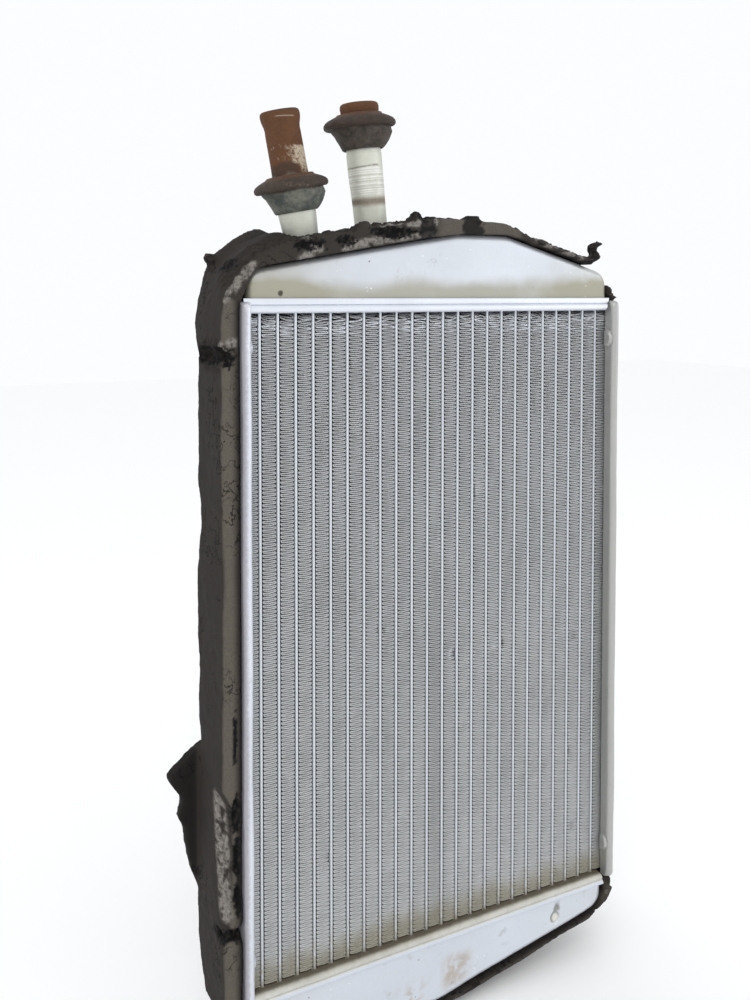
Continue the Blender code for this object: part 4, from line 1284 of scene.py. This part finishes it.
def wrap_void(point):
    """Foam painted darker: the loose flap, two folds on top, the thin right end and its curl, and painted
    shade in the gap beside the plate.
    """
    flap = smoothstep(-124.4, -126, point.x) * smoothstep(172, 165, point.z)
    # Painted shade in the gap between the foam and the side plate.
    plate_gap_shade = smoothstep(-116.6, -115.6, point.x) * smoothstep(386, 380, point.z) * 0.5
    rag = noise.noise(point * 0.3) * 2.6 + noise.noise(point * 0.9) * 1.3
    folds = max(smoothstep(wide, wide - 0.9, abs(point.x - x) + rag)
                for x, wide in ((15.5, 6.5), (-12.5, 5.5))) * smoothstep(410, 414, point.z)
    streaks = noise.noise(Vector((point.x * 0.14, 0, point.z * 0.5)))
    thin_end = smoothstep(47, 50, point.x) * smoothstep(0.02, 0.2, streaks)
    curl = smoothstep(96, 98.5, point.x)
    return max(flap * 0.62, plate_gap_shade, folds * 0.85, thin_end * 0.8, curl * 0.6)


def wrap_held(point):
    """No roughening where the foam is glued to the side plate or to the tank."""
    if point.z < SHOULDER:
        return smoothstep(SIDE_INNER - 0.1, SIDE_INNER - 1.6, point.x)
    return smoothstep(0.5, 2.2, point.z - between(ROOF_ROWS, point.x))


crumble(wrap, wrap_tears, wrap_ragged, wrap_bites, wrap_pale, wrap_void, wrap_held)
clear_grommets(wrap)
put(wrap, "core", "wrap_foam", foam_skin, "foam_wrap_left_top")
print("left and top foam:", len(wrap.data.polygons), "faces")

# %% [markdown]
# ## The wrap under the lower tank and up the right side
# Only its lower edge and two dark corners are seen from the front, where it has worn thin. It keeps
# its full thickness further back, which is what the core stands on.

# %% Right and bottom foam
FLOOR_ROWS = (  # across, tank's underside, front edge, back edge
    (-116.5, 34.4, 27.5, 26.5), (-110.8, 34.2, 22.0, 20.5), (-106, 26.4, 18.5, 16.8),
    (-96, 24.0, 17.5, 15.5), (-60, 15.0, 10.5, 7.6), (-38, 9.4, 4.6, 0.9), (-30, 7.6, 3.6, 0.7),
    (0, 5.8, 3.4, 0.6), (17, 7.6, 5.4, 1.6), (50.6, 13.4, 11.4, 7.6), (79, 18.9, 17.5, 13.2),
    (90, 21.0, 19.2, 15.4), (101, 23.2, 21.2, 17.2), (105, 24.6, 23.8, 19.6), (108, 27.0, 25.4, 21.5),
    (110.9, 33.9, 26.6, 24), (115.0, 34.6, 29, 28), (118, 36.0, 34, 33))
RIGHT_ROWS = (  # height, back, outer
    (30, 17, 119.5), (40, 20, 122), (60, 20, 124.1), (200, 19.4, 124.1), (300, 18.8, 123.9),
    (366, 20, 124.0), (377, 19, 123.0))


def floor_ring(x, tank, front, back):
    face = FOAM_FRONT + 1.8
    return ((x, FOAM_BACK, tank), (x, FOAM_BACK, back + 0.8), (x, FOAM_BACK - 1.4, back), (x, 0, back),
            (x, -10, (front + back) / 2 - 0.8), (x, FOAM_FRONT + 3.0, front), (x, face, front + 0.8),
            (x, face, tank))


def right_ring(z, back, outer):
    return ((115.3, -12.6, z), (outer - 1, -12.6, z), (outer, -11.2, z), (outer, back - 1.4, z),
            (outer - 1, back, z), (115.3, back, z))


bm = bmesh.new()
slab(bm, FLOOR_ROWS, floor_ring, 3)
slab(bm, RIGHT_ROWS, right_ring, 4)
for centre, radii, seed in (((112.2, -14, 388.4), (1.2, 6, 4.0), 11),
                            ((114.4, -13.5, 386.1), (2.0, 6, 1.9), 12),
                            ((117.6, -12.5, 385.1), (3.0, 5, 1.3), 16),
                            ((118.5, -9, 381), (3.4, 6, 4), 13),
                            ((113.8, -16.5, 39.5), (2.6, 4.5, 7), 14),
                            ((112, -16.5, 31), (3.2, 4.5, 3.6), 15)):
    lump(bm, centre, radii, seed, 0.25)
base_wrap = finish_mesh("foam_wrap_right_and_bottom", bm, 0, weld=1e-9)
remesh(base_wrap, FOAM_VOXEL)
base_tears = (((112, -18, 30), (117, -18, 44), 2.0), ((60, -19, 11), (100, -19, 20), 1.2))


def base_pale(point):
    return 0.35 * smoothstep(-17.5, -19.5, point.y) * smoothstep(-0.35, 0.1, noise.noise(point * 0.1))


def base_held(point):
    """The glued faces stay put, and so does the flat underside that the core stands on."""
    if point.z > 45:
        return smoothstep(115.4, 116.9, point.x)
    return smoothstep(0.5, 2.2, between(FLOOR_ROWS, point.x) - point.z) * smoothstep(0.6, 4.0, point.z) * 0.6


crumble(base_wrap, base_tears, (), (), base_pale, lambda point: 0.0, base_held)
for vertex in base_wrap.data.vertices:
    vertex.co.z = max(vertex.co.z, 0.0)
put(base_wrap, "core", "wrap_foam", foam_skin, "foam_wrap_right_bottom")
print("right and bottom foam:", len(base_wrap.data.polygons), "faces")
